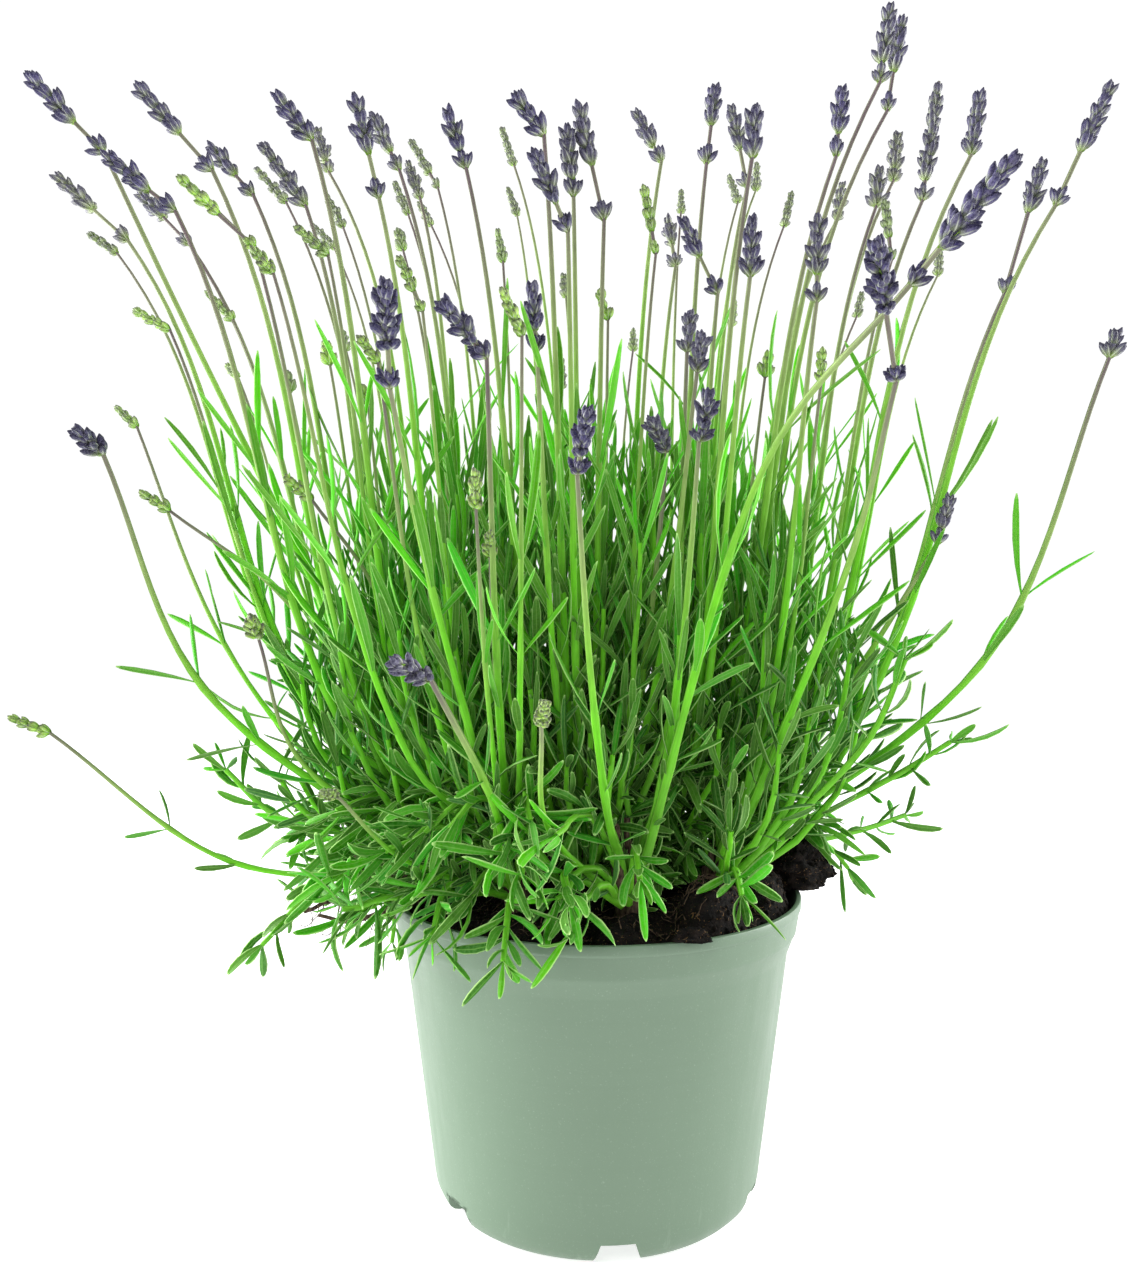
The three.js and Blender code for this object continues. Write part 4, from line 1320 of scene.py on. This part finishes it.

# ---- flower heads

# what each colour of head is made with: the tree's own inputs, the spread of a whorl's two rings
# of buds, and how much of them is covered by pale down and by dark ribs, partly painted groove
# shade
budRing = {"Buds per Ring": 6, "Cluster Spread": 0.62, "Bud Length": 0.0076, "Bud Width": 0.00136,
           "Seed": 3}
headKinds = {
    "violet": {
        "name": "violetBuds", "slot": "bloom", "size": 1.0, "flares": (0.6, 0.26), "whorl": 5.4,
        "values": budRing, "down": 0.13, "ribs": 0.85, "stops": [
            (0.0, 140, 180, 56), (0.2, 124, 142, 78), (0.42, 112, 118, 104), (0.6, 74, 67, 104),
            (0.8, 36, 30, 76), (1.0, 18, 15, 42)]},
    "grey": {
        "name": "greyBuds", "slot": "bloom", "size": 1.0, "flares": (0.66, 0.3), "whorl": 5.4,
        "values": {**budRing, "Cluster Spread": 0.66, "Bud Length": 0.0068, "Bud Width": 0.00124,
                   "Seed": 5},
        "down": 0.2, "ribs": 0.75, "stops": [
            (0.0, 146, 176, 76), (0.3, 130, 136, 100), (0.6, 82, 78, 98), (1.0, 34, 31, 54)]},
    "green": {
        "name": "youngBuds", "slot": "foliage", "size": 0.92, "flares": (0.55, 0.24), "whorl": 4.4,
        "values": {**budRing, "Cluster Spread": 0.7, "Bud Length": 0.0052, "Bud Width": 0.0012,
                   "Seed": 8},
        "down": 0.12, "ribs": 0.6, "stops": [
            (0.0, 122, 192, 30), (0.45, 154, 206, 58), (0.8, 140, 170, 70), (1.0, 84, 92, 60)]},
}
whorl = {"layer": 1.3, "layerSmaller": 0.08, "narrowing": 0.22, "closing": 0.35, "reach": 0.86,
         "lowSize": 0.85, "shortGreen": 13, "shortSize": 1.25}
bracts = {"length": 4.0, "halfWidth": 1.3, "opened": 0.75, "bend": -0.75, "below": 0.6,
          "blade": {"Thickness": 0.14, "Margin Roll": 0.45}}


def budTree():
    given, result = newTree("budsInRings", "GeometryNodeTree", {
        "Geometry": None, "Buds per Ring": 6, "Cluster Spread": 0.6, "Bud Length": 0.006,
        "Bud Width": 0.0012, "Seed": 1, "Material": None}, "Geometry")

    def chance(low, high, offset):
        seed = plus(given["Seed"], offset)
        return addNode("FunctionNodeRandomValue", {"Seed": seed, 2: low, 3: high},
                       data_type="FLOAT").outputs[1]

    def turnedBy(rotation, axis, angle):
        turn = functionNode("AxisAngleToRotation", {"Axis": axis, "Angle": angle})
        return functionNode("RotateRotation", {"Rotation": rotation, "Rotate By": turn},
                            rotation_space="LOCAL")

    # a ring is two clusters of three buds, one on each side of the stem
    points = geometryNode("MeshToPoints", {"Mesh": given["Geometry"]})
    ring = addNode("GeometryNodeDuplicateElements",
                   {"Geometry": points, "Amount": given["Buds per Ring"]}, domain="POINT")
    number = ring.outputs["Duplicate Index"]
    side = timesPlus(maths("FLOOR", maths("DIVIDE", number, 3.0)), math.pi, attribute("turn"))
    member = minus(maths("MODULO", number, 3.0), 1.0)
    angle = plus(timesPlus(member, given["Cluster Spread"], side), chance(-0.16, 0.16, 0))
    upright = functionNode("AlignRotationToVector", {"Vector": attribute("axis", "FLOAT_VECTOR")},
                           axis="Z")
    lean = times(attribute("flare"), chance(0.8, 1.2, 11))
    turned = turnedBy(turnedBy(upright, (0, 0, 1), angle), (0, 1, 0), lean)

    # one bud: six ribs round a belly
    line = geometryNode("CurvePrimitiveLine", {"Start": (0, 0, 0), "End": (0, 0, 1)})
    line = geometryNode("ResampleCurve", {"Curve": line, "Count": 6})
    line = store(line, "along", geometryNode("SplineParameter"))
    belly = floatCurve(attribute("along"), [(0, 0.3), (1, 0.16), (0.2, 0.62), (0.45, 1.0),
                                            (0.78, 0.84)])
    hexagon = store(circleCurve(6), "rib", maths("MODULO", geometryNode("InputIndex"), 2.0))
    bud = geometryNode("CurveToMesh", {"Curve": line, "Profile Curve": hexagon, "Scale": belly,
                                       "Fill Caps": True})
    size = times(attribute("size"), chance(0.82, 1.18, 23))
    wide = times(size, given["Bud Width"])
    scale = shaderNode("CombineXYZ", {0: wide, 1: wide, 2: times(size, given["Bud Length"])})
    placed = geometryNode("InstanceOnPoints", {
        "Points": ring.outputs["Geometry"], "Instance": bud, "Rotation": turned, "Scale": scale})
    return finishTree(store(placed, "tint", chance(0, 1, 31), "INSTANCE"), given, result)


def budMaterial(name, stops, downShare, ribShare):
    material, inputs = newMaterial(name, Roughness=0.6, Specular_IOR_Level=0.25,
                                   Sheen_Weight=0.08, Sheen_Roughness=0.4)
    tint, rib = attribute("tint"), attribute("rib")
    along = plus(attribute("along"), ramp(tint, 0, 1, -0.1, 0.1))
    young = colorRamp(along, [(0.0, 136, 166, 66), (0.45, 128, 136, 94), (0.75, 92, 92, 88),
                              (1.0, 46, 44, 56)])
    color = mixColor(attribute("age"), colorRamp(along, stops), young)
    # the lower half of each bud in the upper whorls, sunk among the buds below, is darkened as
    # painted shade
    sunk = times(ramp(along, 0.5, 0.1), attribute("shade"))
    color = mixColor(times(sunk, 0.8), color, paint(34, 38, 36))
    color = toned(color, ramp(tint, 0, 1, 0.58, 1.34))
    # dark lines down every other corner of each bud, mostly in its upper half: partly the bud's
    # dark ribs, partly painted shade of grooves that the mesh lacks
    ribAndGrooveShade = times(ramp(rib, 0.45, 0.0), ramp(along, 0.15, 0.5))
    color = mixColor(times(ribAndGrooveShade, ribShare), uneven(color, 420.0, 0.4), paint(32, 27, 58))
    # pale lines down the other corners, towards the top of each bud: painted highlight
    crestHighlight = times(ramp(rib, 0.72, 1.0), ramp(along, 0.9, 0.6))
    color = mixColor(times(crestHighlight, 0.7), color, paint(200, 206, 186))
    return finishMaterial(material, inputs, downy(color, downShare, 1500.0, paint(168, 166, 190)),
                          grain(1300.0, 0.7), 0.0003, 0.45)


def headPlaces(flower, kind):
    # each whorl of a head: its height over the head's foot, its size and its part of the way up
    length = (flower["tip"] - flower["foot"]).length
    count = max(2, round(length / kind["whorl"]))
    places = [(-flower["drop"], whorl["lowSize"], 0.0)] if flower["drop"] else []
    for k in range(count):
        part = k / count
        places.append((length * part * whorl["reach"], 1 - whorl["narrowing"] * part ** 2, part))
    return places


def headRings(flower, kind, places):
    # two rings of buds to a whorl, each turned against the one below
    chance = random.Random(70 + flower["row"])
    length = (flower["tip"] - flower["foot"]).length
    isShort = flower["hue"] == "green" and length < whorl["shortGreen"]
    radius = kind["size"] * (whorl["shortSize"] if isShort else 1)
    rings = []
    for k, (start, size, part) in enumerate(places):
        for layer, flare in enumerate(kind["flares"]):
            # shade is 1 for every whorl but the lowest, whose bud bases then get painted shade
            rings.append({
                "at": flower["foot"] + flower["axis"] * (start + whorl["layer"] * layer),
                "axis": flower["axis"],
                "flare": flare * chance.uniform(0.85, 1.15) * (1 - whorl["closing"] * part),
                "turn": (k + layer) * math.pi / 2 + chance.uniform(-0.25, 0.25),
                "size": size * radius * (1 - whorl["layerSmaller"] * layer),
                "age": flower["paleness"], "shade": 1.0 if part > 0 else 0.0})
    return rings


def bractLines(flower, kind, places):
    # a pair of small pointed bracts under each whorl
    lines = []
    chance = random.Random(270 + flower["row"])
    right, front = across(flower["axis"])
    for k, (start, size, _) in enumerate(places):
        place = flower["foot"] + flower["axis"] * (start - bracts["below"])
        for leaf in range(2):
            turn = k * math.pi / 2 + leaf * math.pi + chance.gauss(0, 0.2)
            out = right * math.cos(turn) + front * math.sin(turn)
            length, half = [bracts[key] * size * kind["size"] for key in ("length", "halfWidth")]
            lines.append(leafLine(place, flower["axis"], out, length, half, bracts["opened"],
                                  bracts["bend"], chance.gauss(0, 0.1), chance.random(),
                                  0.6 * chance.random()))
    return lines


def makeHeads():
    tree = budTree()
    lines = []
    for hue, kind in headKinds.items():
        material = budMaterial(kind["name"][:-1], kind["stops"], kind["down"], kind["ribs"])
        rings = []
        for flower in flowers:
            if flower["hue"] == hue:
                places = headPlaces(flower, kind)
                rings += [[ring] for ring in headRings(flower, kind, places)]
                lines += bractLines(flower, kind, places)
        nodes = nodesNamed("head_") if hue == "violet" else []
        growPiece(kind["name"], rings, tree, material, kind["values"], kind["slot"], *nodes)
    stops = [(0.0, 122, 156, 62), (0.6, 108, 126, 72), (1.0, 88, 90, 74)]
    bract = leafMaterial("bract", stops, 0.2)
    growPiece("bracts", lines, bladeTree, bract, bracts["blade"], "foliage")


makeHeads()
print("flower heads made")

# ---- camera, floor and light

studio = {"floorSize": 8.0, "floor": (0.64, 0.64, 0.64, 1), "floorGlow": 0.775, "world": 0.39,
          "backdrop": 1.05, "sensor": 36,
          # place, size and watts of each lamp; all of them look at the middle of the plant
          "aim": (0, 0, 0.2), "lamps": {"key": ((-0.7, -1.3, 1.5), 1.0, 15),
                                        "leftWindow": ((-1.6, 0.3, 0.6), 1.3, 62),
                                        "rightWindow": ((1.6, 0.3, 0.7), 1.3, 46)}}


def makeCamera():
    camera = bpy.data.cameras.new("eye")
    camera.sensor_width = studio["sensor"]
    camera.lens = photo["focal"] / photo["wide"] * camera.sensor_width
    camera.clip_start = 0.01
    eye = newObject("eye", camera)
    eye.location = Vector((photo["eyeAside"], -photo["eyeBack"], photo["eyeHeight"])) * mm
    eye.rotation_euler = (math.pi / 2, 0, 0)
    bpy.context.scene.camera = eye


def makeFloor():
    work = bmesh.new()
    bmesh.ops.create_grid(work, x_segments=1, y_segments=1, size=studio["floorSize"])
    material, inputs = newMaterial("paleFloor", Roughness=0.8, Specular_IOR_Level=0.0,
                                   Emission_Color=(1, 1, 1, 1),
                                   Emission_Strength=studio["floorGlow"])
    finishMaterial(material, inputs, uneven(studio["floor"], 1.5, 0.01))
    newObject("floor", cover(meshFrom(work, "floor"), material))


def makeLight():
    # the world is white to the camera and softer as light
    world = bpy.data.worlds.new("whiteRoom")
    world.use_nodes = True
    desk["tree"] = world.node_tree
    background = world.node_tree.nodes["Background"].inputs
    seen = addNode("ShaderNodeLightPath").outputs["Is Camera Ray"]
    link(ramp(seen, 0, 1, studio["world"], studio["backdrop"]), background["Strength"])
    background["Color"].default_value = (1, 1, 1, 1)
    bpy.context.scene.world = world
    bpy.context.scene.view_settings.view_transform = "Standard"
    for name, (place, size, power) in studio["lamps"].items():
        lamp = bpy.data.lights.new(name, "AREA")
        lamp.shape = "DISK"
        lamp.size = size
        lamp.energy = power
        light = newObject(name, lamp)
        light.location = place
        aim = Vector(studio["aim"]) - Vector(place)
        light.rotation_euler = aim.to_track_quat("-Z", "Y").to_euler()


makeCamera()
makeFloor()
makeLight()
print("camera, floor and light made")
